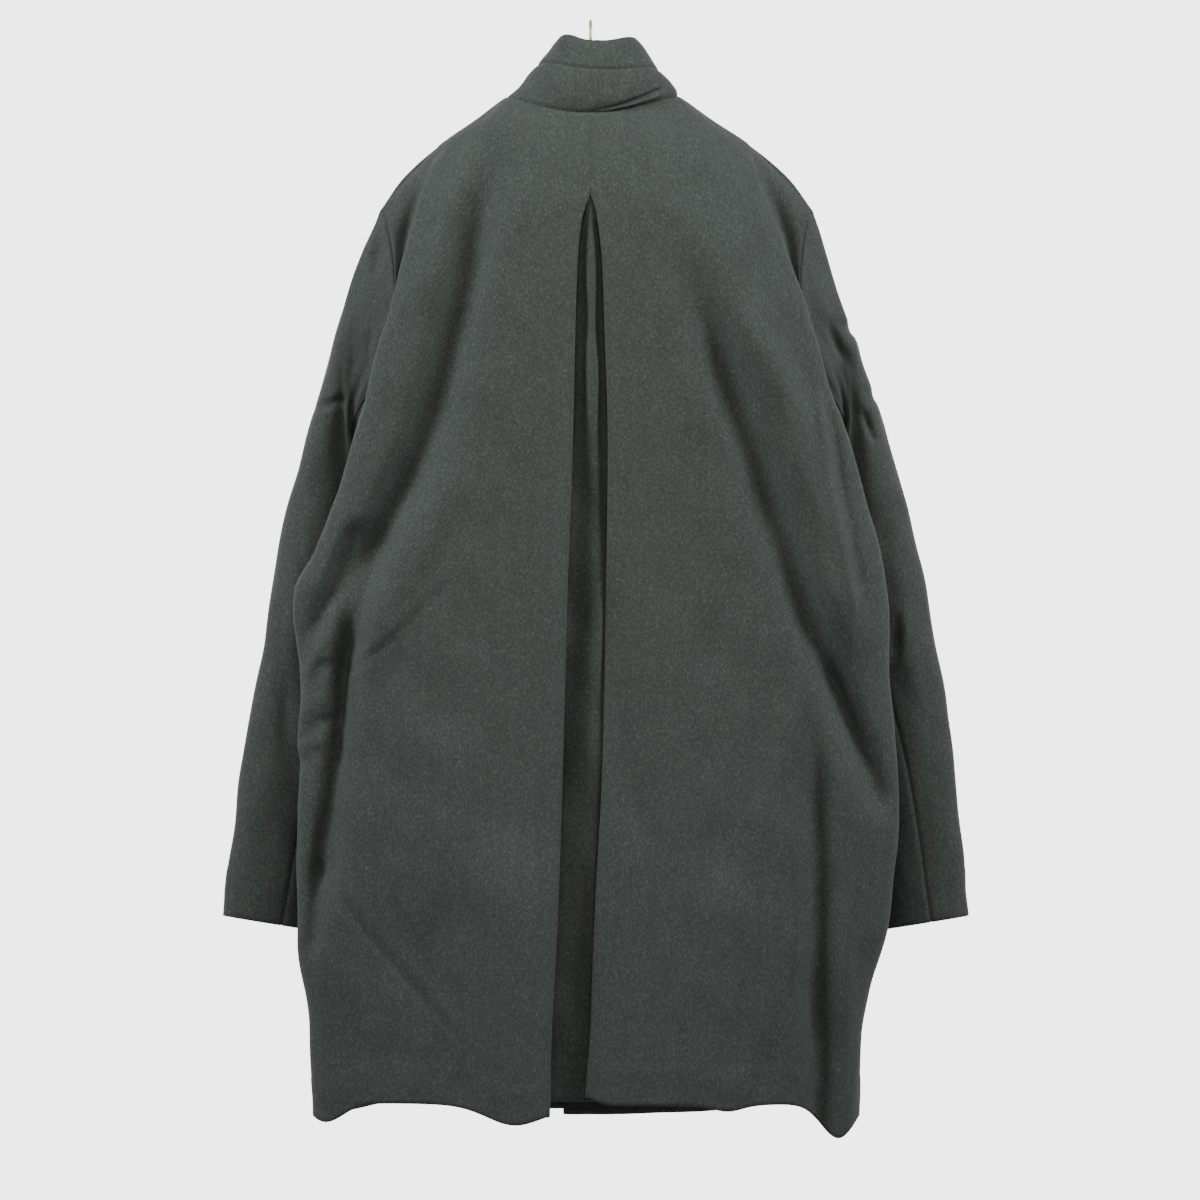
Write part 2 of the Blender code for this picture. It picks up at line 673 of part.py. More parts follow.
def hanger_bar(material):
    """Shaped bar that follows the shoulders from inside."""
    around = np.linspace(0, 2 * math.pi, 13)[:-1]
    rings = []
    for place in np.linspace(-1, 1, 25):
        out = abs(place) * BAR_HALF_LENGTH
        side = 1 if place > 0 else -1
        end = math.sqrt(max(1 - abs(place) ** 8, 0.05))
        deep = (BAR_HALF_DEPTH + BAR_WIDER * ramp(abs(place), 0.2, 0.7)) * end
        high = BAR_HALF_HEIGHT * end
        top = shoulder_drop(side, out) + CLOTH + BAR_CLEARANCE
        top = top + BAR_NECK_DIP * (1 - ramp(out, 90 * MM, 115 * MM)) + BAR_TIP_DIP * ramp(out, 125 * MM, 150 * MM)
        y = deep * np.cos(around)
        z = high * (np.sin(around) - 1) - BAR_PEAK * np.abs(y) - top
        rings.append(np.stack([0 * y + place * BAR_HALF_LENGTH, y, z], -1))
    points = [p for ring in rings for p in ring]
    count = len(around)
    faces = [tuple(range(count)), tuple(range(len(points) - count, len(points)))]
    for r in range(len(rings) - 1):
        for c in range(count):
            d = (c + 1) % count
            faces.append((r * count + c, r * count + d, (r + 1) * count + d, (r + 1) * count + c))
    return add_mesh("hanger_bar", points, faces, material)


def hanger_hook(material):
    """Round wire hook, turned so that the rod runs from side to side."""
    arc = np.radians(np.linspace(HOOK_START_DEG, HOOK_END_DEG, 19))
    path = [(HOOK_RADIUS * math.cos(a), HOOK_RADIUS * math.sin(a) - HOOK_RADIUS + WIRE_RADIUS) for a in arc]
    end_y, end_z = path[-1]
    foot = -(shoulder_drop(1, 0.0) + CLOTH + BAR_CLEARANCE + BAR_NECK_DIP) + HOOK_FOOT_SEAT
    path += [(end_y * 0.35, end_z - HOOK_BEND_DROP), (0.0, end_z - HOOK_SHANK_DROP), (0.0, foot)]
    data = bpy.data.curves.new("hanger_hook", "CURVE")
    data.dimensions = "3D"
    data.bevel_depth = WIRE_RADIUS
    data.bevel_resolution = 2
    data.use_fill_caps = True
    spline = data.splines.new("POLY")
    spline.points.add(len(path) - 1)
    for point, (y, z) in zip(spline.points, path):
        point.co = (0.0, y, z, 1.0)
    data.materials.append(material)
    piece = bpy.data.objects.new("hanger_hook", data)
    bpy.context.scene.collection.objects.link(piece)
    return piece


def button(name, drop, face, material):
    """Turned button with a raised rim, lying on the front."""
    spots = face.reshape(-1, 3)
    count = BUTTON_SIDES
    seat = spots[np.hypot(spots[:, 0], spots[:, 2] + drop).argsort()[:6]]
    fit = np.linalg.lstsq(np.c_[seat[:, 0], seat[:, 2], np.ones(6)], seat[:, 1], rcond=None)[0]
    reach = [fit[0] * BUTTON_RADIUS * math.cos(a) + fit[1] * (BUTTON_RADIUS * math.sin(a) - drop) + fit[2]
             for a in np.linspace(0, 2 * math.pi, count)]
    base = min(reach) - BUTTON_SEAT
    rings = []
    for out, high in zip(BUTTON_PROFILE["out_share"], BUTTON_PROFILE["high_share"]):
        ring = []
        for a in np.linspace(0, 2 * math.pi, count + 1)[:-1]:
            radius = out * BUTTON_RADIUS
            ring.append((radius * math.cos(a), base - high * BUTTON_THICKNESS, radius * math.sin(a) - drop))
        rings.append(ring if out else ring[:1])
    points = [p for ring in rings for p in ring]
    starts = np.cumsum([0] + [len(ring) for ring in rings])
    faces = []
    for r in range(len(rings) - 1):
        for c in range(count):
            d = (c + 1) % count
            corners = [starts[r] + c % len(rings[r]), starts[r] + d % len(rings[r])]
            corners += [starts[r + 1] + d % len(rings[r + 1]), starts[r + 1] + c % len(rings[r + 1])]
            faces.append(tuple(dict.fromkeys(int(i) for i in corners)))
    return add_mesh(name, points, faces, material)


# Build

for old in list(bpy.data.objects):
    bpy.data.objects.remove(old)

panels = {}
for side in (1, -1):
    panels["back_" + word(side)] = back_panel(side)
    panels["front_" + word(side)] = front_panel(side)
collar = collar_bands(panels)

faces = {}
faces["back_left"] = panels["back_left"]
faces["back_right"] = panels["back_right"][:, ::-1]
faces["front_left"] = panels["front_left"][:, ::-1]
faces["front_right"] = panels["front_right"]
faces["pleat_underlay"] = pleat_strip()
faces["collar_upper"] = collar[: COLLAR_SEAM_ROW + 1]
faces["collar_lower"] = collar[COLLAR_SEAM_ROW:]
for side in (1, -1):
    tube = sleeve_tube(side)
    under = tube[:, BACK_SLEEVE_SEAM: FRONT_SLEEVE_SEAM + 1]
    top = np.concatenate([tube[:, FRONT_SLEEVE_SEAM:-1], tube[:, : BACK_SLEEVE_SEAM + 1]], axis=1)
    for name, part in (("sleeve_under_", under), ("sleeve_top_", top)):
        faces[name + word(side)] = part[:, ::-1] if side > 0 else part

sewn = {
    "back_left": ("top", "end"),
    "back_right": ("top", "start"),
    "front_left": ("top", "start"),
    "front_right": ("top", "end"),
    "pleat_underlay": (),
    "collar_upper": ("low",),
    "collar_lower": ("top", "low"),
}

mean = outward(faces)
for side in (1, -1):
    corner = tuple(outer_edge(side, 1)[ARM_ROWS])
    mean[corner] = np.array(UNDERARM_FACING) * (side, 1, 1)
for name, grid in faces.items():
    cloth = paint("wool_" + name, (0.062, 0.073, 0.070), 0.9)
    wall(name, grid, mean, sewn.get(name, ("top", "start", "end")), cloth)

hanger_bar(paint("beech", (0.45, 0.30, 0.17), 0.5))
hanger_hook(paint("wire", (0.60, 0.58, 0.52), 0.3, 1.0))
horn = paint("horn", (0.030, 0.028, 0.026), 0.35)
for i, drop in enumerate(BUTTON_DROPS):
    button(f"button_{i + 1}", drop, panels["front_left"], horn)
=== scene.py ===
# %% [markdown]
# # A stand-collar coat on its hanger
#
# The solids of this coat are already built and packed. This lesson gives them their looks: a brushed wool
# that hangs in soft folds, seams that sink a little into the cloth, horn buttons, and a plain beech hanger
# with a wire hook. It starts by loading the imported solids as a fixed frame, so that each new piece goes
# where its solid is.

# %% Load the frame
import math

import bmesh
import bpy
import numpy as np
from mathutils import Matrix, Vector
from mathutils.bvhtree import BVHTree
from mathutils.kdtree import KDTree


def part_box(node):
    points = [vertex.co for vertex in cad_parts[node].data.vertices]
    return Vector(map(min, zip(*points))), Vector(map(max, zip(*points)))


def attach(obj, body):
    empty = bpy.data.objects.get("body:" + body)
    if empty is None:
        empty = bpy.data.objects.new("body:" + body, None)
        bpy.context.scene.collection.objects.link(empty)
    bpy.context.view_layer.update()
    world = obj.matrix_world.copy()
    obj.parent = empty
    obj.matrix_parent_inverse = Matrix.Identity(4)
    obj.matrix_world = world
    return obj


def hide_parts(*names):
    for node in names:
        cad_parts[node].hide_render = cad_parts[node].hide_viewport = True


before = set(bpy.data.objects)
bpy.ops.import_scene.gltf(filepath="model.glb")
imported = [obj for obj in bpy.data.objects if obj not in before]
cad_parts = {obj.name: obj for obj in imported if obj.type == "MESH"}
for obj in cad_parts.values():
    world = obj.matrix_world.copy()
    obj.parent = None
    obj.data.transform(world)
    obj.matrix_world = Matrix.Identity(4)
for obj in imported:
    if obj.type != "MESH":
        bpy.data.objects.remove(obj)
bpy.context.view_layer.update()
scene = bpy.context.scene
print("solids loaded:", len(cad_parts))

# %% [markdown]
# ## Camera, light and floor
#
# The coat is seen squarely from behind, at the height of its middle, from far enough for its outline to
# stay nearly flat. The origin is where the hook hangs, so the coat lies below zero. Large soft lights stand
# above and beside the camera, the upper one slightly warm, and the floor is a pale disc that the coat hangs
# clear of.

# %% Camera
VIEW_DISTANCE = 3.6
VIEW_WIDTH = 1.14
VIEW_ACROSS = -0.009
VIEW_HEIGHT = -0.548
SENSOR = 36

lens = bpy.data.cameras.new("camera")
lens.sensor_width = SENSOR
lens.lens = SENSOR * VIEW_DISTANCE / VIEW_WIDTH
camera = bpy.data.objects.new("camera", lens)
camera.location = (VIEW_ACROSS, VIEW_DISTANCE, VIEW_HEIGHT)
camera.rotation_euler = (math.pi / 2, 0, math.pi)
scene.collection.objects.link(camera)
scene.camera = camera
print("lens:", round(lens.lens, 1), "mm")


# %% Lights
BEAM_DEG = 60
LIT_HEIGHT = -0.464
WARM = (1.0, 0.95, 0.82)

# Name, place, size and watts of each light
LIGHTS = (
    ("left_light", (2.5, 1.1, 1.136), 1.0, 18),
    ("right_light", (-2.5, 1.1, 1.136), 1.0, 16.6),
    ("top_light", (0.0, 1.6, 1.036), 0.9, 4.7),
)


def soft_light(name, place, size, watts):
    """Square light that looks at the middle of the coat, with a grid that narrows its beam."""
    data = bpy.data.lights.new(name, "AREA")
    data.size = size
    data.spread = math.radians(BEAM_DEG)
    data.energy = watts
    light = bpy.data.objects.new(name, data)
    light.location = place
    aim = Vector((0, 0, LIT_HEIGHT)) - Vector(place)
    light.rotation_euler = aim.to_track_quat("-Z", "Y").to_euler()
    light.visible_camera = False
    scene.collection.objects.link(light)
    return light


lights = {settings[0]: soft_light(*settings) for settings in LIGHTS}
lights["top_light"].data.color = WARM
print("lights:", len(lights))


# %% [markdown]
# ## A few tools for materials
#
# A material is a small tree of nodes. One function adds a node with its settings and its links, and another
# turns a colour, written as a hex value, into the linear numbers that a shader needs.

# %% Tools for materials
def add_node(tree, kind, settings=None, links=None):
    """Adds a node, sets its properties and sockets, and links other nodes' outputs to its inputs."""
    new = tree.nodes.new(kind)
    for name, value in (settings or {}).items():
        if isinstance(name, str) and name in new.bl_rna.properties:
            setattr(new, name, value)
        else:
            new.inputs[name].default_value = value
    for name, source in (links or {}).items():
        tree.links.new(source, new.inputs[name])
    return new


def colour(hex_value):
    """Linear colour from an sRGB hex value."""
    parts = [int(hex_value[i: i + 2], 16) / 255 for i in (1, 3, 5)]
    linear = [p / 12.92 if p <= 0.04045 else ((p + 0.055) / 1.055) ** 2.4 for p in parts]
    return (*linear, 1.0)


def new_material(name, settings):
    """Material with one Principled shader, its fixed values set on the shader's own sockets."""
    material = bpy.data.materials.new(name)
    material.use_nodes = True
    shader = material.node_tree.nodes["Principled BSDF"]
    for socket, value in settings.items():
        shader.inputs[socket].default_value = value
    return material, material.node_tree, shader


print("a mid grey in linear light:", round(colour("#808080")[0], 3))


# %% [markdown]
# ## The room
#
# Behind the coat the studio is bright, like white paper that is lit by itself. The rest of the room is dim,
# so that the folds keep their shade. One gradient of the world's light does both: it reads the direction
# that light comes from, and turns from bright to dim away from the paper.

# %% Room light
PAPER_LIGHT = 4.0
ROOM_LIGHT = 0.22
PAPER_EDGE = -0.85
ROOM_EDGE = -0.35

world = bpy.data.worlds.new("studio")
world.use_nodes = True
tree = world.node_tree
way = add_node(tree, "ShaderNodeTexCoord")
parts = add_node(tree, "ShaderNodeSeparateXYZ", links={"Vector": way.outputs["Generated"]})
light = add_node(tree, "ShaderNodeMapRange",
                 {"interpolation_type": "SMOOTHSTEP", "From Min": PAPER_EDGE, "From Max": ROOM_EDGE,
                  "To Min": PAPER_LIGHT, "To Max": ROOM_LIGHT},
                 {"Value": parts.outputs["Y"]})
sky = tree.nodes["Background"]
sky.inputs["Color"].default_value = (1.0, 1.0, 1.0, 1.0)
tree.links.new(light.outputs["Result"], sky.inputs["Strength"])
scene.world = world
print("room light:", ROOM_LIGHT)


# %% [markdown]
# ## The floor
#
# A seamless paper floor: pale, matt, with a slight unevenness. It stands in the scene and is not attached to
# the coat.

# %% Floor
FLOOR_DROP = 1.864
FLOOR_RADIUS = 1.6
FLOOR_SIDES = 96
CLOUD_SCALE = 1.5

floor_form = bmesh.new()
bmesh.ops.create_circle(floor_form, cap_ends=True, radius=FLOOR_RADIUS, segments=FLOOR_SIDES)
floor_mesh = bpy.data.meshes.new("floor")
floor_form.to_mesh(floor_mesh)
floor_form.free()
for point in floor_mesh.vertices:
    point.co.z = -FLOOR_DROP
floor = bpy.data.objects.new("floor", floor_mesh)
scene.collection.objects.link(floor)

paper, tree, shader = new_material("floor_paper", {"Roughness": 0.9})
place = add_node(tree, "ShaderNodeTexCoord")
cloud = add_node(tree, "ShaderNodeTexNoise", {"Scale": CLOUD_SCALE}, {"Vector": place.outputs["Object"]})
tone = add_node(tree, "ShaderNodeValToRGB", links={"Fac": cloud.outputs["Fac"]})
tone.color_ramp.elements[0].color = colour("#C4C3C0")
tone.color_ramp.elements[1].color = colour("#CECDCA")
tree.links.new(tone.outputs["Color"], shader.inputs["Base Color"])
floor_mesh.materials.append(paper)
print("floor at", -FLOOR_DROP, "m")


# %% [markdown]
# ## Numbers of the cut
#
# The cloth follows the form of its solids, so much the same sizes and short tables are stated here, in
# millimetres, some of them refined. Drops are measured down from the place where the hook hangs on its rod,
# and the wearer's left is positive. The grid is finer than that of the solids by whole steps, so that each
# line of the solids has its line in the cloth.

# %% Sizes
MM = 0.001

CLOTH = 1.9 * MM
NECK_BACK = 92 * MM
NECK_SIDE = 71 * MM
NECK_FRONT = 146 * MM
SHOULDER_TIP = 175 * MM
UNDERARM = 374 * MM
HEM = 1017 * MM
FRONT_HEM_EXTRA = 29 * MM
LAP_HEM_STEP = 5 * MM
SHOULDER_ROUND = 140 * MM
ARMHOLE_BACK = 35 * MM
ARMHOLE_FRONT = 28 * MM
ARMHOLE_SCOOP = 18 * MM
ARMHOLE_HOLLOW = 11 * MM
SEAM_BEHIND_RIDGE = 8 * MM
SLEEVE_HEAD_LIFT = 16 * MM
FRONT_LAP = 26 * MM
LAP_STEP = 5.5 * MM
FLANK_START = 0.6
UNDERARM_START = 0.86
FOLD_RADIUS = 2.4 * MM
SEAM_FOLD_RADIUS = 0.6 * MM
SOFT_EDGE = 0.5
PLEAT_APEX = 174 * MM
PLEAT_RETURN = 34 * MM

ARM_ROWS = 88
BODY_ROWS = 168
PLEAT_TOP_ROW = 32
NECK_COLUMNS = 54
MAIN_COLUMNS = 96
TURN_COLUMNS = 18
BEND_COLUMNS = 8
RETURN_COLUMNS = 10
FRONT_NECK_COLUMNS = 48
PLEAT_COLUMNS = 36
SLEEVE_ROWS = 180
COLLAR_STEPS = 14
BACK_SLEEVE_SEAM = 56
FRONT_SLEEVE_SEAM = 120
SEAM_SWING_SPREAD = 1.3
OUTER_LINE_KEPT = 0.6


def table(columns, *rows):
    """Short table in millimetres, kept in metres; columns of degrees and shares keep their numbers."""
    names = columns.split()
    kept = [1.0 if name.endswith(("deg", "share")) else MM for name in names]
    return {name: np.array([row[i] for row in rows]) * kept[i] for i, name in enumerate(names)}


print("rows down the back:", ARM_ROWS + BODY_ROWS)

# %% Tables of the body
SHOULDER = table(
    "out drop",
    (0, 40),
    (49, 55),
    (81, 71),
    (108, 91),
    (148, 119),
    (179, 147),
    (199, 175),
)

SIDE = table(
    "drop left right",
    (117, 143, 148),
    (187, 164, 170),
    (267, 186, 200),
    (339, 207, 222),
    (415, 228, 249),
    (500, 259, 272),
    (540, 279, 280),
    (562, 281, 282),
    (586, 278, 282),
    (612, 274, 283),
    (640, 273, 285),
    (681, 277, 287),
    (700, 274, 289),
    (746, 277, 292),
    (857, 277, 280),
    (947, 265, 256),
    (1028, 261, 253),
)

DEPTH = table(
    "drop back ridge front flank seam",
    (64, 73, 50, -66, -44, -30),
    (264, 79, 48, -70, -46, -30),
    (374, 77, 40, -68, -36, -30),
    (484, 74, 30, -66, -16, -13),
    (584, 74, 24, -67, -5, -4),
    (764, 77, 22, -71, -3, -3),
    (1054, 86, 26, -80, -3, -3),
)

PLEAT = table(
    "drop left right",
    (64, -0.1, -0.1),
    (171, 0, 0),
    (176, 1.8, 1.8),
    (183, 4.6, 4.4),
    (197, 8.2, 6.8),
    (231, 11.6, 10.8),
    (288, 13.6, 13.0),
    (405, 16.3, 16.2),
    (567, 22, 14),
    (706, 25.5, 11),
    (839, 30, 4),
    (954, 36, -0.5),
    (1029, 38, -5),
)

HEM_DIPS = table(
    "side_share out half_width drop",
    (1, 70, 36, 17),
    (1, 250, 26, 20),
    (-1, 232, 24, 34),
    (-1, 128, 18, 5),
    (-1, -6, 15, -8),
)
print("sections of the side:", len(SIDE["drop"]))

# %% [markdown]
# ## Folds
#
# A hanging coat has a few large folds that run from its shoulders, and many small creases. Each one is a
# row. The first column is 1 on the wearer's left and -1 on the right. Then come three places that the fold
# passes through, the half of its width, and its height, which is negative for a valley. A fold of a sleeve
# has angles round the sleeve and shares of its length in place of the three places. The first rows of each
# table are the main folds, which the solids have too, on the back a little softer. The later ones are finer
# and belong to the cloth alone.

# %% Folds of the back
FOLD_COLUMNS = "side_share top_out top_drop mid_out mid_drop low_out low_drop half_width height"

BACK_FOLDS = table(
    FOLD_COLUMNS,
    (1, 80, 74, 147, 377, 272, 614, 22, -22),
    (1, 124, 414, 178, 534, 250, 654, 22, 5),
    (1, 220, 524, 234, 681, 262, 864, 13, -17),
    (1, 70, 744, 66, 914, 62, 1164, 42, 10),
    (1, 165, 794, 160, 924, 160, 1164, 45, -7),
    (-1, 84, 214, 174, 484, 281, 764, 17, -15),
    (-1, 134, 234, 206, 434, 258, 624, 22, 13),
    (-1, 208, 634, 212, 738, 206, 1164, 15, -16),
    (-1, 110, 764, 120, 914, 125, 1164, 40, 6),
    (1, 14, 294, 26, 664, 40, 1264, 16, 8),
    (1, 128, 524, 180, 579, 240, 629, 7, -1.4),
    (1, 120, 509, 172, 566, 232, 614, 9, 1.0),
    (1, 270, 784, 192, 879, 107, 974, 4, -1.7),
    (1, 260, 784, 183, 872, 100, 966, 8, 0.8),
    (1, 216, 466, 240, 531, 262, 594, 10, -7.0),
    (1, 182, 464, 214, 556, 238, 650, 9, -7.0),
    (1, 234, 540, 254, 590, 276, 648, 8, 3.5),
    (1, 220, 590, 224, 645, 228, 710, 5, 3.0),
    (1, 231, 590, 234, 645, 237, 710, 4, -3.0),
    (1, 248, 784, 254, 825, 264, 890, 9, -6.0),
    (1, 244, 600, 262, 622, 290, 646, 13, -3.2),
    (1, 250, 634, 266, 650, 290, 668, 12, 1.6),
    (1, 240, 652, 262, 670, 290, 690, 12, -3.4),
    (1, 254, 682, 268, 698, 290, 716, 11, -1.8),
    (1, 84, 654, 80, 724, 76, 779, 6, -2.0),
    (1, 206, 869, 206, 909, 204, 949, 6, -1.8),
    (1, 130, 654, 128, 764, 132, 864, 26, 2.4),
    (-1, 210, 330, 224, 434, 250, 574, 5, 4.6),
    (-1, 220, 340, 235, 444, 262, 574, 6, -4.6),
    (-1, 220, 594, 246, 665, 280, 764, 13, -8.0),
    (-1, 190, 804, 197, 924, 198, 1164, 12, 4.0),
    (-1, 238, 814, 240, 924, 240, 1164, 11, 4.5),
    (-1, 10, 504, 22, 634, 48, 794, 13, -5.0),
    (-1, 60, 524, 78, 664, 92, 824, 24, 2.2),
    (-1, 90, 294, 108, 394, 150, 554, 16, 2.0),
)
print("folds of the back:", len(BACK_FOLDS["height"]))

# %% Folds of the fronts and sleeves
FRONT_FOLDS = table(
    FOLD_COLUMNS,
    (1, 105, 384, 98, 714, 92, 1214, 34, -8),
    (1, 170, 444, 178, 724, 190, 1214, 32, 7),
    (-1, 95, 344, 104, 684, 112, 1214, 36, -8),
    (-1, 178, 484, 186, 744, 196, 1214, 30, 7),
    (1, 118, 164, 136, 264, 170, 384, 14, -3.4),
    (-1, 120, 169, 134, 264, 166, 389, 14, -3.2),
    (1, 60, 524, 66, 684, 70, 864, 10, -2.0),
    (-1, 58, 604, 52, 764, 50, 924, 10, -2.0),
    (1, 140, 524, 190, 604, 232, 684, 9, -2.4),
    (-1, 138, 504, 186, 594, 228, 684, 9, -2.4),
    (1, 150, 824, 158, 924, 160, 1064, 12, 2.6),
    (-1, 140, 784, 150, 924, 152, 1064, 12, 2.6),
)

SLEEVE_FOLDS = table(
    "side_share top_deg low_deg start_share end_share half_width_deg height",
    (1, 62, 75, 0.10, 0.46, 16, -8),
    (1, 30, 52, 0.30, 0.75, 14, 4),
    (-1, 58, 78, 0.12, 0.50, 16, -8),
    (-1, 30, 50, 0.32, 0.80, 14, 4),
    (1, 285, 262, 0.25, 0.85, 20, -6),
    (-1, 285, 262, 0.25, 0.85, 20, -6),
    (1, 20, 64, 0.40, 0.56, 8, -2.2),
    (-1, 70, 40, 0.50, 0.62, 9, -2.4),
    (1, 318, 290, 0.30, 0.46, 11, -2.8),
    (-1, 322, 292, 0.28, 0.44, 11, -2.8),
    (1, 236, 262, 0.34, 0.52, 12, -3.0),
    (-1, 238, 260, 0.36, 0.54, 12, -3.0),
)

# Short creases on the back of the sleeves, as lines from one place to another
SLEEVE_CREASES = table(
    "side_share start_out start_drop end_out end_drop half_width height",
    (1, 268, 366, 230, 354, 3.2, -2.4),
    (1, 262, 357, 234, 347, 4.5, 1.3),
    (1, 204, 206, 202, 238, 3.2, -3.2),
    (1, 210, 206, 209, 238, 3.6, 2.4),
    (1, 209, 290, 214, 336, 4.5, -3.4),
    (-1, 226, 280, 242, 322, 4.6, -5.2),
    (-1, 248, 294, 252, 325, 6, 3.6),
    (-1, 234, 285, 260, 291, 4.6, -3.2),
    (-1, 257, 350, 286, 354, 6, -2.0),
    (-1, 259, 364, 275, 400, 4.2, -4.4),
    (-1, 295, 558, 292, 610, 4.2, -3.4),
    (-1, 303, 560, 300, 615, 6, 1.8),
    (1, 294, 592, 290, 720, 10, -4.0),
)
print("folds and creases of the sleeves:", len(SLEEVE_FOLDS["height"]), len(SLEEVE_CREASES["height"]))


# %% [markdown]
# ## Curves through the tables
#
# A table gives a size at a few heights. Between them a smooth curve runs from row to row. It is a cubic
# whose slopes are held back, so that it never swings past its rows, which would make the pleat's edges
# cross.

# %% Helpers for forms
def smooth(keys, values, at):
    """Value of a smooth curve through a table's column that never overshoots its rows."""
    steps = np.diff(values) / np.diff(keys)
    slopes = np.append(np.append(steps[0], np.zeros(len(keys) - 2)), steps[-1])
    same = steps[:-1] * steps[1:] > 0
    mean = 2 * steps[:-1] * steps[1:] / np.where(same, steps[:-1] + steps[1:], 1.0)
    slopes[1:-1] = np.where(same, mean, 0.0)
    at = np.clip(np.asarray(at, float), keys[0], keys[-1])
    i = np.clip(np.searchsorted(keys, at) - 1, 0, len(keys) - 2)
    span = keys[i + 1] - keys[i]
    t = (at - keys[i]) / span
    rise = values[i + 1] - values[i]
    ease = t * t * (3 - 2 * t)
    bend = t * (1 - t) * ((1 - t) * slopes[i] - t * slopes[i + 1]) * span
    return values[i] + rise * ease + bend


def ramp(at, start, end):
    """Soft step from 0 to 1."""
    t = np.clip((np.asarray(at, float) - start) / (end - start), 0, 1)
    return t * t * (3 - 2 * t)


def between(start, end, share):
    return start + (end - start) * share


def word(side):
    return "left" if side > 0 else "right"


def side_of(name):
    return 1 if name.endswith("left") else -1


def row_levels():
    """How far each row has sunk from the shoulder to the underarm, and from there to the hem."""
    sink = (1 - np.cos(np.linspace(0, math.pi, ARM_ROWS + 1))) / 2
    lower = np.arange(1, BODY_ROWS + 1) / BODY_ROWS
    return np.append(sink, np.ones(BODY_ROWS)), np.append(np.zeros(ARM_ROWS + 1), lower)


print("half of the back at the hem:", round(float(smooth(SIDE["drop"], SIDE["left"], HEM)), 3), "m")


# %% [markdown]
# ## The body's form
#
# The back is a shallow arch from its centre to the ridge beside the armhole. It rounds over the hanger at
# the shoulder and falls free below it. Each of these is one small function of a place out from the centre
# line and a drop below the hook, so that every panel can ask for any point of the form.

# %% Form of the body
RIGHT_SHOULDER_SHARE = 1.056
FOLD_FADE = 0.22
BACK_ROUND = 2.6
FRONT_ROUND = 1.8


def tip_out(side):
    return SHOULDER["out"][-1] * (1.0 if side > 0 else RIGHT_SHOULDER_SHARE)


def shoulder_drop(side, out):
    return smooth(SHOULDER["out"], SHOULDER["drop"], np.abs(out) * SHOULDER["out"][-1] / tip_out(side))


def ridge_out(side, drop):
    return smooth(SIDE["drop"], SIDE[word(side)], drop)


def depth(column, drop):
    return smooth(DEPTH["drop"], DEPTH[column], drop)


def shoulder_share(side, out, drop):
    """Grows from 0 on the shoulder line to 1 where the cloth hangs free of it."""
    fall = np.clip((drop - shoulder_drop(side, out)) / SHOULDER_ROUND, 0, 1)
    return np.sqrt(1 - (1 - fall) ** 2)


def fold_height(folds, side, out, drop):
    """Height of all folds of one side at a place."""
    total = np.zeros(np.broadcast(out, drop).shape)
    for i in np.flatnonzero(folds["side_share"] == side):
        keys = np.array([folds[k + "_drop"][i] for k in ("top", "mid", "low")])
        line = np.array([folds[k + "_out"][i] for k in ("top", "mid", "low")])
        centre = smooth(keys, line, drop)
        end = FOLD_FADE * (keys[2] - keys[0])
        fade = ramp(drop, keys[0], keys[0] + end) * (1 - ramp(drop, keys[2] - end, keys[2]))
        away = (out - centre) / folds["half_width"][i]
        total = total + folds["height"][i] * fade * np.exp(-away ** 2)
    return total


def back_y(side, out, drop, reach=None):
    """Depth of the back's outer face; the arch ends at the reach, or else at the ridge beside the place."""
    ridge = depth("ridge", drop)
    reach = ridge_out(side, drop) if reach is None else reach
    share = np.clip(np.abs(out) / reach, 0, 1)
    arch = ridge + (depth("back", drop) - ridge) * np.sqrt(1 - share ** BACK_ROUND)
    loose = shoulder_share(side, out, drop)
    return loose * (arch + fold_height(BACK_FOLDS, side, out, drop))


def front_y(side, out, drop, near):
    """Depth of the front's outer face where it hangs free of the shoulder."""
    arch = between(depth("front", drop), depth("flank", drop), near ** FRONT_ROUND)
    return arch - fold_height(FRONT_FOLDS, side, out, drop)


print("back stands", round(float(back_y(1, np.array(0.1), np.array(UNDERARM))), 3), "m behind the hook")


# %% [markdown]
# ## Edges that two pieces share
#
# A seam only closes if both pieces have the same edge. So the armhole, the side seam and the shoulder seam
# are made once, with a point for each row or column, and each panel ends on those points.

# %% Armhole, side seam and shoulder seam
ARMHOLE_FULLNESS = 0.8
FRONT_SCOOP_SHARE = 1.6


def seam_line(side, drop):
    """Side seam, just round the corner of the body."""
    out = ridge_out(side, drop) - SEAM_BEHIND_RIDGE
    return np.stack([side * out, depth("seam", drop), -drop], -1)


def armhole(side, sink, face):
    """Armhole edge from the shoulder tip to the underarm, on the back or front face."""
    tip = np.array([side * tip_out(side), 0, -SHOULDER_TIP])
    low = seam_line(side, np.array(UNDERARM))
    middle = 4 * np.clip(sink * (1 - sink), 0, None)
    points = tip + (low - tip) * np.asarray(sink)[..., None]
    reach = ARMHOLE_BACK if face > 0 else -ARMHOLE_FRONT
    points[..., 1] += reach * middle ** ARMHOLE_FULLNESS
    points[..., 0] -= side * ARMHOLE_SCOOP * middle * (1.0 if face > 0 else FRONT_SCOOP_SHARE)
    return points


def hem_dip(side, out, lower):
    """How much lower the hem hangs at a place."""
    dip = np.zeros(np.broadcast(out, lower).shape)
    for i in np.flatnonzero(HEM_DIPS["side_share"] == side):
        away = (out - HEM_DIPS["out"][i]) / HEM_DIPS["half_width"][i]
        dip = dip + HEM_DIPS["drop"][i] * np.exp(-away ** 2)
    return dip * lower ** 3


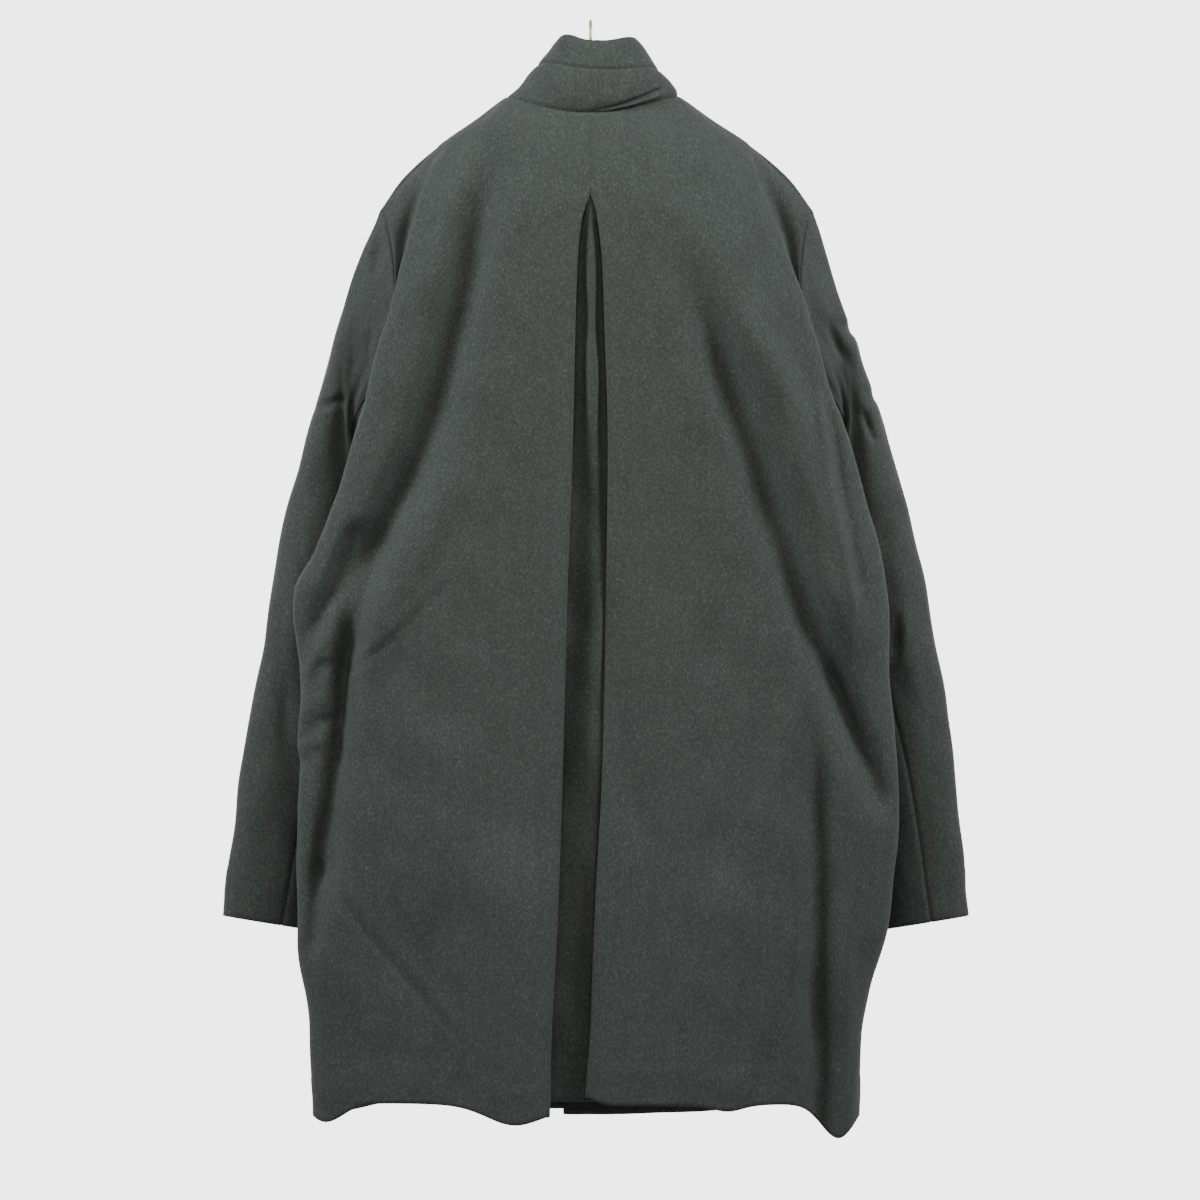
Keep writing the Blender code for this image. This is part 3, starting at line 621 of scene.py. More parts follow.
def outer_edge(side, face):
    """Armhole and side seam of one panel, a point for each row."""
    sink, lower = row_levels()
    edge = armhole(side, sink, face)
    drop = between(UNDERARM, HEM, lower[ARM_ROWS + 1:])
    drop = drop + hem_dip(side, ridge_out(side, drop), lower[ARM_ROWS + 1:])
    edge[ARM_ROWS + 1:] = seam_line(side, drop)
    return edge


def shoulder_seam(side):
    """Points of the shoulder seam from the neck to the tip."""
    ridge = SIDE[word(side)][0]
    inner = np.linspace(ridge * NECK_COLUMNS / MAIN_COLUMNS, ridge, MAIN_COLUMNS - NECK_COLUMNS + 1)
    outer = np.linspace(ridge, tip_out(side), TURN_COLUMNS + 1)
    out = np.append(inner, outer[1:])
    return np.stack([side * out, 0 * out, -shoulder_drop(side, out)], -1)


print("shoulder seam:", round(float(np.linalg.norm(np.diff(shoulder_seam(1), axis=0), axis=1).sum()), 3), "m")


# %% [markdown]
# ## The two backs
#
# Each back starts at the pleat: a strip that returns behind, a fold round the pleat's edge, the main part
# out to the ridge, and the turn from the ridge into the armhole and the side seam. Above the pleat's top
# the two folds meet as a seam, so there the fold is tighter.

# %% Shape of a back
NECK_FOLD_SHARE = 0.2
NECK_FOLD_END = NECK_BACK + 30 * MM
PLEAT_FOLD = (PLEAT_APEX - 20 * MM, PLEAT_APEX + 60 * MM)
SOFT_EDGE_GROWS = (324 * MM, 464 * MM)
HOLLOW_GROWS = (0.05, 0.3)
HOLLOW_FADES = (0.42, 0.6)
TURN_OUT = 0.1
TURN_IN = 0.3
TURN_LEAVES = (0.02, 0.28)
TURN_ARRIVES = (0.25, 1.0)
COLUMNS_SPREAD_BY = 0.15


def fold_radius(side, drop):
    """Tight at the neck, wider down the pleat, and softest on the left edge, which stands proud."""
    seam = SEAM_FOLD_RADIUS * between(NECK_FOLD_SHARE, 1.0, ramp(drop, NECK_BACK, NECK_FOLD_END))
    radius = between(seam, FOLD_RADIUS, ramp(drop, *PLEAT_FOLD))
    return radius * (1 + SOFT_EDGE * ramp(drop, *SOFT_EDGE_GROWS) if side > 0 else 1)


def hollow_depth(sink):
    """Depth of the hollow between the ridge and the armhole, below the shoulder."""
    return ARMHOLE_HOLLOW * ramp(sink, *HOLLOW_GROWS) * (1 - ramp(sink, *HOLLOW_FADES))


def turn_row(side, start, end, sink):
    """Part of a back row from the ridge round to the armhole or the side seam."""
    chord = end - start
    size = np.linalg.norm(chord)
    down = np.array([TURN_OUT * side, -1, 0]) * size
    inward = np.array([-TURN_IN * side, -1, 0]) * size
    leave = between(chord, down, ramp(sink, *TURN_LEAVES)) - chord
    arrive = between(chord, inward, ramp(sink, *TURN_ARRIVES)) - chord
    t = np.linspace(0, 1, TURN_COLUMNS + 1)[1:, None]
    turned = start + chord * t + t * (1 - t) * ((1 - t) * leave - t * arrive)
    middle = (4 * t * (1 - t)) ** 2
    turned[:, 1] -= hollow_depth(sink) * middle[:, 0]
    return turned


def back_panel(side):
    """Outer face of one back, a line of points for each row."""
    sink, lower = row_levels()
    edge = outer_edge(side, 1)
    seam = shoulder_seam(side)
    even = np.arange(MAIN_COLUMNS + 1) / MAIN_COLUMNS
    # Columns that lie closer together towards the ridge
    closer = 1.25 * even + 0.5 * even ** 2 - 0.75 * even ** 3
    neck = np.minimum(even * MAIN_COLUMNS / NECK_COLUMNS, 1)
    top = between(NECK_BACK, NECK_SIDE, 1 - np.cos(neck * math.pi / 2))
    top = np.where(neck < 1, top, shoulder_drop(side, SIDE[word(side)][0] * even))
    rows = []
    for row, (sunk, low) in enumerate(zip(sink, lower)):
        fallen = (HEM - UNDERARM) * low
        ridge = ridge_out(side, between(SIDE["drop"][0], UNDERARM, sunk) + fallen)
        centre_drop = between(NECK_BACK, UNDERARM, sunk) + fallen
        fold = smooth(PLEAT["drop"], PLEAT[word(side)], centre_drop)
        radius = fold_radius(side, centre_drop)
        share = between(even, closer, ramp(sunk, 0, COLUMNS_SPREAD_BY))
        out = between(fold + radius, ridge, share)
        drop = between(top, UNDERARM, sunk) + fallen + hem_dip(side, out, low)
        if row == 0:
            out[NECK_COLUMNS:] = side * seam[: MAIN_COLUMNS - NECK_COLUMNS + 1, 0]
        y = back_y(side, out, drop, ridge)
        main = np.stack([side * out, y, -drop], -1)
        turned = turn_row(side, main[-1], edge[row], sunk)
        if row == 0:
            main[NECK_COLUMNS:] = seam[: MAIN_COLUMNS - NECK_COLUMNS + 1]
            turned = seam[MAIN_COLUMNS - NECK_COLUMNS + 1:]
        angle = np.linspace(1.5, 0.5, BEND_COLUMNS + 1)[:-1] * math.pi
        bend_out = fold + radius + radius * np.cos(angle)
        bend_y = y[0] - radius + radius * np.sin(angle)
        bend = np.stack([side * bend_out, bend_y, 0 * angle - drop[0]], -1)
        behind = fold + radius + PLEAT_RETURN * np.linspace(1, 0, RETURN_COLUMNS + 1)[:-1]
        behind_drop = np.interp(behind, out, drop)
        under = back_y(side, behind, behind_drop) - 2 * radius
        returned = np.stack([side * behind, under, -behind_drop], -1)
        rows.append(np.concatenate([returned, bend, main, turned]))
    return np.array(rows)


backs = {side: back_panel(side) for side in (1, -1)}
print("points of a back:", backs[1].shape[0] * backs[1].shape[1])


# %% [markdown]
# ## The two fronts
#
# The fronts carry the closing. Each one runs past the centre by the lap, and the right one lies a step
# further in, under the left. Their hem hangs a little lower than the back's, so it shows below it.

# %% Shape of a front
NECK_WIDENS_BY = 0.6
NECK_CURVE = 1.7
COLUMNS_EVEN_BY = 0.5
HEM_RISES_FROM = 0.7
UNDERARM_NEAR = (0.7, 1.0)
UNDERARM_LEFT_BY = 0.2
LAP_FADES = (30 * MM, 75 * MM)


def front_panel(side):
    """Outer face of one front, from its overlapped edge to the armhole and side seam."""
    sink, lower = row_levels()
    edge = outer_edge(side, -1)
    seam = shoulder_seam(side)
    columns = FRONT_NECK_COLUMNS + len(seam) - 1
    even = np.arange(columns + 1) / columns
    neck = np.linspace(0, 1, FRONT_NECK_COLUMNS + 1)
    neck_out = np.sin(neck * math.pi / 2) * abs(seam[0, 0])
    first = np.append(between(-FRONT_LAP, neck_out, ramp(neck, 0.0, NECK_WIDENS_BY)), side * seam[1:, 0])
    first_share = (first + FRONT_LAP) / (first[-1] + FRONT_LAP)
    neck_share = np.abs(first[: FRONT_NECK_COLUMNS + 1] / seam[0, 0])
    top = np.append(between(NECK_FRONT, NECK_SIDE, neck_share ** NECK_CURVE), -seam[1:, 2])
    rows = []
    for row, (sunk, low) in enumerate(zip(sink, lower)):
        reach = side * edge[row, 0]
        share = between(first_share, even, ramp(sunk, 0, COLUMNS_EVEN_BY))
        out = between(-FRONT_LAP, reach, share)
        near = np.abs(out) / reach
        lower_hem = FRONT_HEM_EXTRA - LAP_HEM_STEP * (side > 0)
        drop = between(top, UNDERARM, sunk) + (HEM - UNDERARM + lower_hem * (1 - near ** 2)) * low
        drop = drop + (-edge[row, 2] - drop[-1]) * ramp(near, HEM_RISES_FROM, 1.0)
        y = shoulder_share(side, out, drop) * front_y(side, out, drop, near)
        at_underarm = ramp(sunk, *UNDERARM_NEAR) * (1 - ramp(low, 0.0, UNDERARM_LEFT_BY))
        start = between(FLANK_START, UNDERARM_START, at_underarm)
        y = y + (edge[row, 1] - y[-1]) * ramp(near, start, 1.0)
        if side < 0:
            y = y + LAP_STEP * (1 - ramp(out, *LAP_FADES))
        points = np.stack([side * out, y, -drop], -1)
        points[-1] = edge[row]
        if row == 0:
            points[FRONT_NECK_COLUMNS:] = seam
        rows.append(points)
    return np.array(rows)


fronts = {side: front_panel(side) for side in (1, -1)}
print("points of a front:", fronts[1].shape[0] * fronts[1].shape[1])

# %% [markdown]
# ## Sleeves
#
# A set-in sleeve starts at the armhole and ends at the cuff. Its table gives the outer and inner line and
# the fullness of its two faces, and rings run between them. Two seams part it into a top and an under
# sleeve.

# %% Shape of a sleeve
SLEEVE = table(
    "drop left right y in_drop in_left in_right in_y back front twist_deg",
    (264, 235, 240, -20, 409, 224, 243, -62, 22, 42, 12),
    (369, 264, 276, -38, 486, 204, 222, -92, 28, 44, 24),
    (479, 294, 307, -46, 569, 197, 212, -104, 34, 44, 30),
    (604, 315, 333, -48, 661, 209, 227, -106, 35, 40, 31),
    (724, 337, 350, -46, 763, 231, 244, -98, 33, 37, 29),
    (851, 352, 362, -42, 872, 246, 256, -88, 30, 33, 25),
)

# How far the back seam swings outwards along the sleeve, from its place on the armhole
SEAM_SWING = table(
    "share left_deg right_deg",
    (0, 0, 0),
    (0.1, -26, -26),
    (0.3, -18, -12),
    (0.55, 15, 40),
    (0.8, 31, 53),
    (1.0, 35, 56),
)
ROW_CURVE = 1.1
HEAD_FLATNESS = 1.6
HEAD_ROUNDS_BY = 0.2
SCOOP_FADES_BY = 0.22
LIFT_GROWS_BY = 0.07
LIFT_FADES = (0.08, 0.45)


def sleeve_stations(side):
    """Armhole and the sleeve table together, as columns over the share of the sleeve's length."""
    tip = armhole(side, np.array(0.0), 1)
    low = armhole(side, np.array(1.0), 1)
    outer = np.stack([side * SLEEVE[word(side)], SLEEVE["y"], -SLEEVE["drop"]], -1)
    inner = np.stack([side * SLEEVE["in_" + word(side)], SLEEVE["in_y"], -SLEEVE["in_drop"]], -1)
    outer = np.vstack([tip, outer])
    inner = np.vstack([low, inner])
    back = np.append(ARMHOLE_BACK, SLEEVE["back"])
    front = np.append(ARMHOLE_FRONT, SLEEVE["front"])
    twist = np.radians(np.append(0.0, SLEEVE["twist_deg"]))
    steps = np.linalg.norm(np.diff((outer + inner) / 2, axis=0), axis=1)
    along = np.append(0, np.cumsum(steps)) / steps.sum()
    return along, outer, inner, back, front, twist


def sleeve_fold(side, angle, share):
    """Height of the folds of one sleeve round a ring."""
    total = 0 * angle
    for i in np.flatnonzero(SLEEVE_FOLDS["side_share"] == side):
        begin = SLEEVE_FOLDS["start_share"][i]
        end = SLEEVE_FOLDS["end_share"][i]
        t = np.clip((share - begin) / (end - begin), 0, 1)
        centre = between(SLEEVE_FOLDS["top_deg"][i], SLEEVE_FOLDS["low_deg"][i], t)
        away = ((np.degrees(angle) - centre + 180) % 360 - 180) / SLEEVE_FOLDS["half_width_deg"][i]
        total = total + SLEEVE_FOLDS["height"][i] * math.sin(math.pi * t) ** 2 * np.exp(-away ** 2)
    return total


def ring_angles(side, share):
    """Angles of a ring's points, shifted near the back seam so that it swings as its table says."""
    even = np.linspace(0, 2 * math.pi, 2 * ARM_ROWS + 1)
    away = (even - even[BACK_SLEEVE_SEAM]) / SEAM_SWING_SPREAD
    near = np.exp(-away ** 2) * ramp(even, 0, OUTER_LINE_KEPT)
    swing = smooth(SEAM_SWING["share"], SEAM_SWING[word(side) + "_deg"], share)
    return even - math.radians(swing) * near


def sleeve_tube(side):
    """Outer face of a sleeve: rings from the armhole to the cuff, starting at the outer line."""
    along, outer, inner, back, front, twist = sleeve_stations(side)
    rings = []
    for share in np.linspace(0, 1, SLEEVE_ROWS + 1) ** ROW_CURVE:
        angle = ring_angles(side, share)
        sink = (1 - np.cos(angle)) / 2
        rise = np.sin(angle)
        scoop = ARMHOLE_SCOOP * rise ** 2 * np.where(rise > 0, 1.0, FRONT_SCOOP_SHARE)
        top = np.array([smooth(along, outer[:, k], share) for k in range(3)])
        low = np.array([smooth(along, inner[:, k], share) for k in range(3)])
        turn = smooth(along, twist, share)
        face = np.array([-side * math.sin(turn), math.cos(turn), 0])
        full = np.where(rise > 0, smooth(along, back, share), smooth(along, front, share))
        centre = (top + low) / 2
        flatness = between(HEAD_FLATNESS, 1.0, ramp(share, 0, HEAD_ROUNDS_BY))
        bulge = np.sign(rise) * np.abs(rise) ** flatness
        ring = top + (low - top) * sink[:, None] + face * (full * bulge)[:, None]
        ring[:, 0] -= side * scoop * (1 - ramp(share, 0, SCOOP_FADES_BY))
        lift = ramp(share, 0, LIFT_GROWS_BY) * (1 - ramp(share, *LIFT_FADES))
        ring[:, 0] += side * SLEEVE_HEAD_LIFT * lift * sink ** 0.5 * np.clip(rise, 0, 1) ** 0.5
        away = ring - centre
        away = away / np.linalg.norm(away, axis=1)[:, None]
        ring = ring + away * sleeve_fold(side, angle, share)[:, None]
        rings.append(ring)
    rings = np.array(rings)
    rings[0, : ARM_ROWS + 1] = outer_edge(side, 1)[: ARM_ROWS + 1]
    rings[0, ARM_ROWS:] = outer_edge(side, -1)[ARM_ROWS::-1]
    return rings


sleeves = {side: sleeve_tube(side) for side in (1, -1)}
print("points of a sleeve:", sleeves[1].shape[0] * sleeves[1].shape[1])

# %% [markdown]
# ## Collar
#
# The stand collar is two bands, sewn on along the neckline. Its rings are the neckline itself, drawn in
# towards its middle and raised by the amounts in the table, from the top edge down to just above the neck
# seam.

# %% Shape of the collar
COLLAR = table(
    "back_rise side_rise front_rise half_width back_y front_y centre",
    (70, 48, 64, 39, 42, -70, -7),
    (64.5, 43.5, 59, 44, 46, -73, -7),
    (53.5, 34, 48, 51, 51, -75, -7),
    (41.5, 23.6, 35, 59, 55, -76, -7),
    (26.5, 14.5, 20, 69, 59, -74, -7),
    (12, 8, 8, 75, 60, -70, -6),
)
BAND_SEAM = 3
COLLAR_SEAM_ROW = BAND_SEAM * COLLAR_STEPS
COLLAR_PEAK_OUT = 22 * MM
COLLAR_PEAK_WIDTH = 14 * MM
COLLAR_PEAK_END = 2
COLLAR_PEAK = 2.6 * MM
BAND_TILT = 2.8 * MM


def neckline():
    """Neck edges of fronts and backs in one line, from the right front round to the left."""
    halves = []
    for side in (-1, 1):
        skip = RETURN_COLUMNS + BEND_COLUMNS
        first = backs[side][0, skip: skip + NECK_COLUMNS + 1]
        halves.append(np.concatenate([first, fronts[side][0, FRONT_NECK_COLUMNS - 1::-1]]))
    return np.concatenate([halves[0][::-1], halves[1]])


def collar_rings(neck):
    """Outer face of the collar, from its top edge down to the neck seam."""
    middle = (neck[:, 0].max() + neck[:, 0].min()) / 2
    half = (neck[:, 0].max() - neck[:, 0].min()) / 2
    behind = neck[:, 1] > 0
    reach = np.where(behind, neck[:, 1].max(), neck[:, 1].min())
    lean = np.clip(neck[:, 1] / reach, 0, 1)
    across = (neck[:, 0] - middle) / half
    at_neck = {"half_width": half, "back_y": neck[:, 1].max(), "front_y": neck[:, 1].min(), "centre": middle}
    columns = {name: np.append(COLLAR[name], at_neck.get(name, 0.0)) for name in COLLAR}
    keys = np.arange(len(COLLAR["centre"]) + 1.0)
    rows = []
    for place in np.linspace(0, keys[-1], int(keys[-1]) * COLLAR_STEPS + 1):
        size = {name: smooth(keys, column, place) for name, column in columns.items()}
        rise = between(size["side_rise"], np.where(behind, size["back_rise"], size["front_rise"]), lean)
        x = size["centre"] + across * size["half_width"]
        near_peak = np.exp(-((x - COLLAR_PEAK_OUT) / COLLAR_PEAK_WIDTH) ** 2) * behind
        peak = COLLAR_PEAK * near_peak * (1 - ramp(place, 0, COLLAR_PEAK_END))
        near_seam = ramp(place, 0, BAND_SEAM) * (1 - ramp(place, BAND_SEAM, keys[-1]))
        tilt = BAND_TILT * across * behind * near_seam
        y = neck[:, 1] / reach * np.where(behind, size["back_y"], size["front_y"])
        rows.append(np.stack([x, y, neck[:, 2] + rise + peak + tilt], -1))
    return np.array(rows)


collar = collar_rings(neckline())
print("neckline:", round(float(np.linalg.norm(np.diff(collar[-1], axis=0), axis=1).sum()), 3), "m")

# %% [markdown]
# ## Underlay of the pleat
#
# Behind the two folded edges lies a strip that joins them. Near the pleat's top, where the opening is
# narrow, its middle stands forward as a soft ridge. Further down the ridge moves under the right edge and
# fades, and the strip lies back in the shade of the left edge. Each row of the table is one cross-section
# of it.

# %% Shape of the underlay
UNDERLAY = table(
    "drop ridge left_half right_half height sink",
    (165, 0, 4, 4, 0, 0.5),
    (195, -0.8, 5, 4.5, 5.5, 4),
    (229, -1.2, 6.5, 5.2, 11, 7),
    (278, -1.6, 6.5, 5.6, 14, 8.5),
    (354, -3.0, 8, 5.2, 13.5, 8),
    (394, -4.5, 11, 4.5, 10, 6),
    (454, -7.5, 15, 4, 7, 4),
    (524, -9.5, 20, 3.2, 5.5, 3),
    (643, -9.5, 24, 2.8, 5, 3),
    (833, -2.5, 28, 2.8, 4.5, 4),
    (1029, 6, 30, 2.8, 3, 6),
)
UNDERLAY_SHORTER = 3 * MM
UNDERLAY_BEHIND = 0.9 * MM
RIDGE_FLATNESS = 3


def pleat_strip():
    """Right side of the pleat's underlay."""
    sink, lower = row_levels()
    rows = []
    for row in range(PLEAT_TOP_ROW, len(sink)):
        drop = between(NECK_BACK, UNDERARM, sink[row]) + (HEM - UNDERARM) * lower[row]
        drop = drop - UNDERLAY_SHORTER * lower[row] ** 3
        ends = []
        for side in (-1, 1):
            ends.append(side * (smooth(PLEAT["drop"], PLEAT[word(side)], drop) + PLEAT_RETURN))
        share = np.linspace(0, 1, PLEAT_COLUMNS + 1)
        x = between(ends[0], ends[1], share)
        level = np.minimum(back_y(-1, x, drop), back_y(1, x, drop))
        size = {name: smooth(UNDERLAY["drop"], UNDERLAY[name], drop) for name in UNDERLAY}
        away = x - size["ridge"]
        half = np.where(away > 0, size["left_half"], size["right_half"])
        ridge = size["height"] * np.exp(-np.abs(away / half) ** RIDGE_FLATNESS)
        hollow = size["sink"] * np.sin(share * math.pi)
        y = level - 2 * fold_radius(1, drop) - UNDERLAY_BEHIND - hollow + ridge
        rows.append(np.stack([x, y, 0 * x - drop], -1))
    return np.array(rows)


underlay = pleat_strip()
print("underlay rows:", len(underlay))

# %% [markdown]
# ## From a face to cloth
#
# Each piece is now a grid of points on its outer face. To become cloth it gets closer lines beside its sewn
# edges, a shallow groove along each seam, the step of a turned-up hem, and a slight unevenness. Then it
# gets its thickness: an inner face and a rounded rim. Each point also keeps its place on the flat cloth, in
# millimetres, so that the weave can follow the cloth.

# %% Faces of all pieces
faces = {
    "back_left": backs[1],
    "back_right": backs[-1][:, ::-1],
    "front_left": fronts[1][:, ::-1],
    "front_right": fronts[-1],
    "pleat_underlay": underlay,
    "collar_upper": collar[: COLLAR_SEAM_ROW + 1],
    "collar_lower": collar[COLLAR_SEAM_ROW:],
}
for side, tube in sleeves.items():
    under = tube[:, BACK_SLEEVE_SEAM: FRONT_SLEEVE_SEAM + 1]
    over = np.concatenate([tube[:, FRONT_SLEEVE_SEAM:-1], tube[:, : BACK_SLEEVE_SEAM + 1]], axis=1)
    for name, face in (("sleeve_under_", under), ("sleeve_top_", over)):
        faces[name + word(side)] = face[:, ::-1] if side > 0 else face

SEWN = {
    "back_left": ("top", "end"),
    "back_right": ("top", "start"),
    "front_left": ("top", "start"),
    "front_right": ("top", "end"),
    "pleat_underlay": (),
    "collar_upper": ("low",),
    "collar_lower": ("top", "low"),
}
SLEEVE_SEWN = ("top", "start", "end")
print("pieces of cloth:", len(faces))

# %% Lines beside the seams
CLOSE_LINES = (0.7 * MM, 1.5 * MM, 2.6 * MM)
CLOSE_LINE_LIMIT = 0.85
NEARLY_ZERO = 1e-12


def add_close_lines(grid, edges):
    """Adds lines of points beside the sewn edges, where the seam's groove needs them."""
    for name in edges:
        turned = grid if name in ("top", "low") else grid.swapaxes(0, 1)
        if name in ("low", "end"):
            turned = turned[::-1]
        spacing = np.linalg.norm(turned[1] - turned[0], axis=-1).mean()
        shares = [line / spacing for line in CLOSE_LINES if line < CLOSE_LINE_LIMIT * spacing]
        extra = [between(turned[:1], turned[1:2], share) for share in shares]
        turned = np.concatenate([turned[:1], *extra, turned[1:]])
        if name in ("low", "end"):
            turned = turned[::-1]
        grid = turned if name in ("top", "low") else turned.swapaxes(0, 1)
    return grid


def lengths(grid, axis):
    """Distance from the first line, and to the last line, along one direction of the grid."""
    steps = np.linalg.norm(np.diff(grid, axis=axis), axis=-1)
    pad = [(0, 0), (0, 0)]
    pad[axis] = (1, 0)
    gone = np.pad(np.cumsum(steps, axis=axis), pad)
    return gone, np.take(gone, [-1], axis=axis) - gone


EDGES = {"top": (0,), "low": (-1,), "start": (slice(None), 0), "end": (slice(None), -1)}


def edge_distances(grid):
    """Distance of each point from the four edges of its piece."""
    down, up = lengths(grid, 0)
    across, rest = lengths(grid, 1)
    return {"top": down, "low": up, "start": across, "end": rest}


def unit(vectors):
    return vectors / np.maximum(np.linalg.norm(vectors, axis=-1, keepdims=True), NEARLY_ZERO)


def facing(grid):
    """Outward direction at each point."""
    return unit(np.cross(np.gradient(grid, axis=1), np.gradient(grid, axis=0)))


print("lines beside a seam:", len(CLOSE_LINES))

# %% [markdown]
# Along a seam two pieces meet at an angle. If each one were thickened straight inwards by itself, a crack
# would open between them. So every point of a seam takes the mean direction of all pieces that are sewn
# together there, and the direction turns into the piece's own within a few millimetres.

# %% Shared directions along the seams
SEAM_TURN = 5 * MM
SEAM_REACH = 4 * MM


def shared_directions(grids, normals):
    """Outward directions of all pieces, the same on both sides of each seam."""
    lines = [(name, EDGES[edge]) for name in grids for edge in SEWN.get(name, SLEEVE_SEWN)]
    points = np.concatenate([grids[name][line] for name, line in lines])
    ways = np.concatenate([normals[name][line] for name, line in lines])
    near = KDTree(len(points))
    for i, point in enumerate(points):
        near.insert(Vector(point), i)
    near.balance()
    result = {}
    for name, grid in grids.items():
        away = edge_distances(grid)
        way = normals[name]
        means = {}
        for edge in SEWN.get(name, SLEEVE_SEWN):
            found = [[i for _, i, _ in near.find_range(Vector(p), SEAM_REACH)] for p in grid[EDGES[edge]]]
            means[edge] = unit(np.array([ways[some].sum(0) for some in found]))
            mean = means[edge][None] if edge in ("top", "low") else means[edge][:, None]
            close = np.exp(-(away[edge] / SEAM_TURN) ** 2)[..., None]
            way = unit(way * (1 - close) + mean * close)
        for edge, mean in means.items():
            way[EDGES[edge]] = mean
        result[name] = way
    return result


print("directions turn within", SEAM_TURN, "m")

# %% [markdown]
# The relief of a piece is how far each point is pressed in or lifted out. A seam sinks by about a
# millimetre. A turned-up hem is two layers thick, so its upper edge shows as a faint step. The sleeves have
# short creases where they bend. The lower collar band has a narrow roll beside the neck seam, on the
# wearer's right, where the seam has pulled the band over itself.

# %% Relief
SEAM_DEPTH = 1.1 * MM
SEAM_WIDTH = 2.0 * MM
ARMHOLE_EXTRA = 1.5 * MM
ARMHOLE_GROWS = (2 * MM, 25 * MM)
ARMHOLE_FADES = (120 * MM, 180 * MM)
HEM_TURN_UP = 36 * MM
CUFF_TURN_UP = 46 * MM
TURN_UP_STEP = 0.5 * MM
TURN_UP_SOFT = 2 * MM
BACK_FACING = (-0.3, 0.1)
ROLL_HEIGHT = 2.6 * MM
ROLL_WIDTH = 9 * MM
ROLL_START = -8 * MM
ROLL_END = 63 * MM
ROLL_FADE = 8 * MM
ROLL_LEAST = 0.02
ROLL_GROWN = 0.7
ROLL_MIDDLE = 0.45
ROLL_HALF = 0.36
ROLL_CLEAR = 2.5 * MM
CREASE_PLACE = 1.15
CREASE_DEPTH = 3.6 * MM
CREASE_WIDTH = 1.5 * MM
QUIET_EDGE = 25 * MM
PIECE_PHASE = 2.1
WAVE_PHASE = 1.3

# Waves of the slight unevenness: length across, length along and height
WAVES = table(
    "across along height",
    (94, 150, 0.45),
    (61, -210, 0.35),
    (180, 88, 0.5),
    (-43, 120, 0.22),
    (37, 57, 0.14),
)


def seam_relief(name, grid, edges):
    """Grooves along the sewn edges, deeper along the armholes."""
    away = edge_distances(grid)
    below_tip = -grid[..., 2] - SHOULDER_TIP
    fade = 1 - ramp(below_tip, *ARMHOLE_FADES)
    armhole_depth = SEAM_DEPTH + ARMHOLE_EXTRA * ramp(below_tip, *ARMHOLE_GROWS) * fade
    sunk = np.zeros(grid.shape[:2])
    for edge in edges:
        at_armhole = edge == "top" if name.startswith("sleeve") else edge in ("start", "end")
        deep = armhole_depth if at_armhole and not name.startswith("collar") else SEAM_DEPTH
        sunk = np.maximum(sunk, deep * np.exp(-(away[edge] / SEAM_WIDTH) ** 2))
    return -sunk


def turn_up_relief(grid, size):
    """Step at the upper edge of a turned-up hem."""
    up = lengths(grid, 0)[1]
    return TURN_UP_STEP * (1 - ramp(up, size - TURN_UP_SOFT, size + TURN_UP_SOFT))


def crease_relief(side, grid, normal):
    """Short creases on the back of a sleeve."""
    total = np.zeros(grid.shape[:2])
    for i in np.flatnonzero(SLEEVE_CREASES["side_share"] == side):
        start = np.array([SLEEVE_CREASES["start_out"][i], SLEEVE_CREASES["start_drop"][i]])
        end = np.array([SLEEVE_CREASES["end_out"][i], SLEEVE_CREASES["end_drop"][i]])
        way = end - start
        gone = np.stack([side * grid[..., 0], -grid[..., 2]], -1) - start
        t = np.clip(gone @ way / (way @ way), 0, 1)
        away = np.linalg.norm(gone - t[..., None] * way, axis=-1) / SLEEVE_CREASES["half_width"][i]
        total += SLEEVE_CREASES["height"][i] * np.sin(math.pi * t) * np.exp(-away ** 2)
    return total * ramp(normal[..., 1], *BACK_FACING)


def roll_relief(grid):
    """Narrow roll of the lower collar band beside the neck seam, behind the wearer's right shoulder."""
    up = lengths(grid, 0)[1]
    out = -grid[..., 0]
    behind = grid[..., 1] > 0
    grown = np.clip((out - ROLL_START) / (ROLL_END - ROLL_START), ROLL_LEAST, 1.0)
    strong = ramp(grown, ROLL_LEAST, ROLL_GROWN) * (1 - ramp(out, ROLL_END, ROLL_END + ROLL_FADE)) * behind
    width = ROLL_WIDTH * grown
    roll = ROLL_HEIGHT * np.exp(-((up - ROLL_MIDDLE * width) / (ROLL_HALF * width)) ** 2)
    crease = CREASE_DEPTH * np.exp(-((up - CREASE_PLACE * width) / CREASE_WIDTH) ** 2)
    return strong * (roll - crease) * ramp(up, 0, ROLL_CLEAR)


def uneven_relief(grid, flat, number):
    """Slight unevenness, different on each piece, quiet at its edges."""
    total = np.zeros(flat.shape[:2])
    near = np.min(list(edge_distances(grid).values()), axis=0)
    for i in range(len(WAVES["height"])):
        phase = PIECE_PHASE * number + WAVE_PHASE * i
        turns = flat[..., 0] * MM / WAVES["across"][i] + flat[..., 1] * MM / WAVES["along"][i]
        total += WAVES["height"][i] * np.sin(2 * math.pi * turns + phase)
    return total * ramp(near, 0, QUIET_EDGE)


print("groove of a seam:", SEAM_DEPTH, "m")

# %% Thickness, rim and mesh
# Column that the straight grain of a piece follows; the middle one where none is named
GRAIN_COLUMN = {
    "back_left": RETURN_COLUMNS + BEND_COLUMNS,
    "back_right": -1 - RETURN_COLUMNS - BEND_COLUMNS,
    "front_left": -1,
    "front_right": 0,
}

# Distance between the pieces on the flat cloth and height at which the pattern is cut through, in millimetres
LAID_APART = 1700
PATTERN_SLICE = 0.6
RIM_ROUND = 0.42


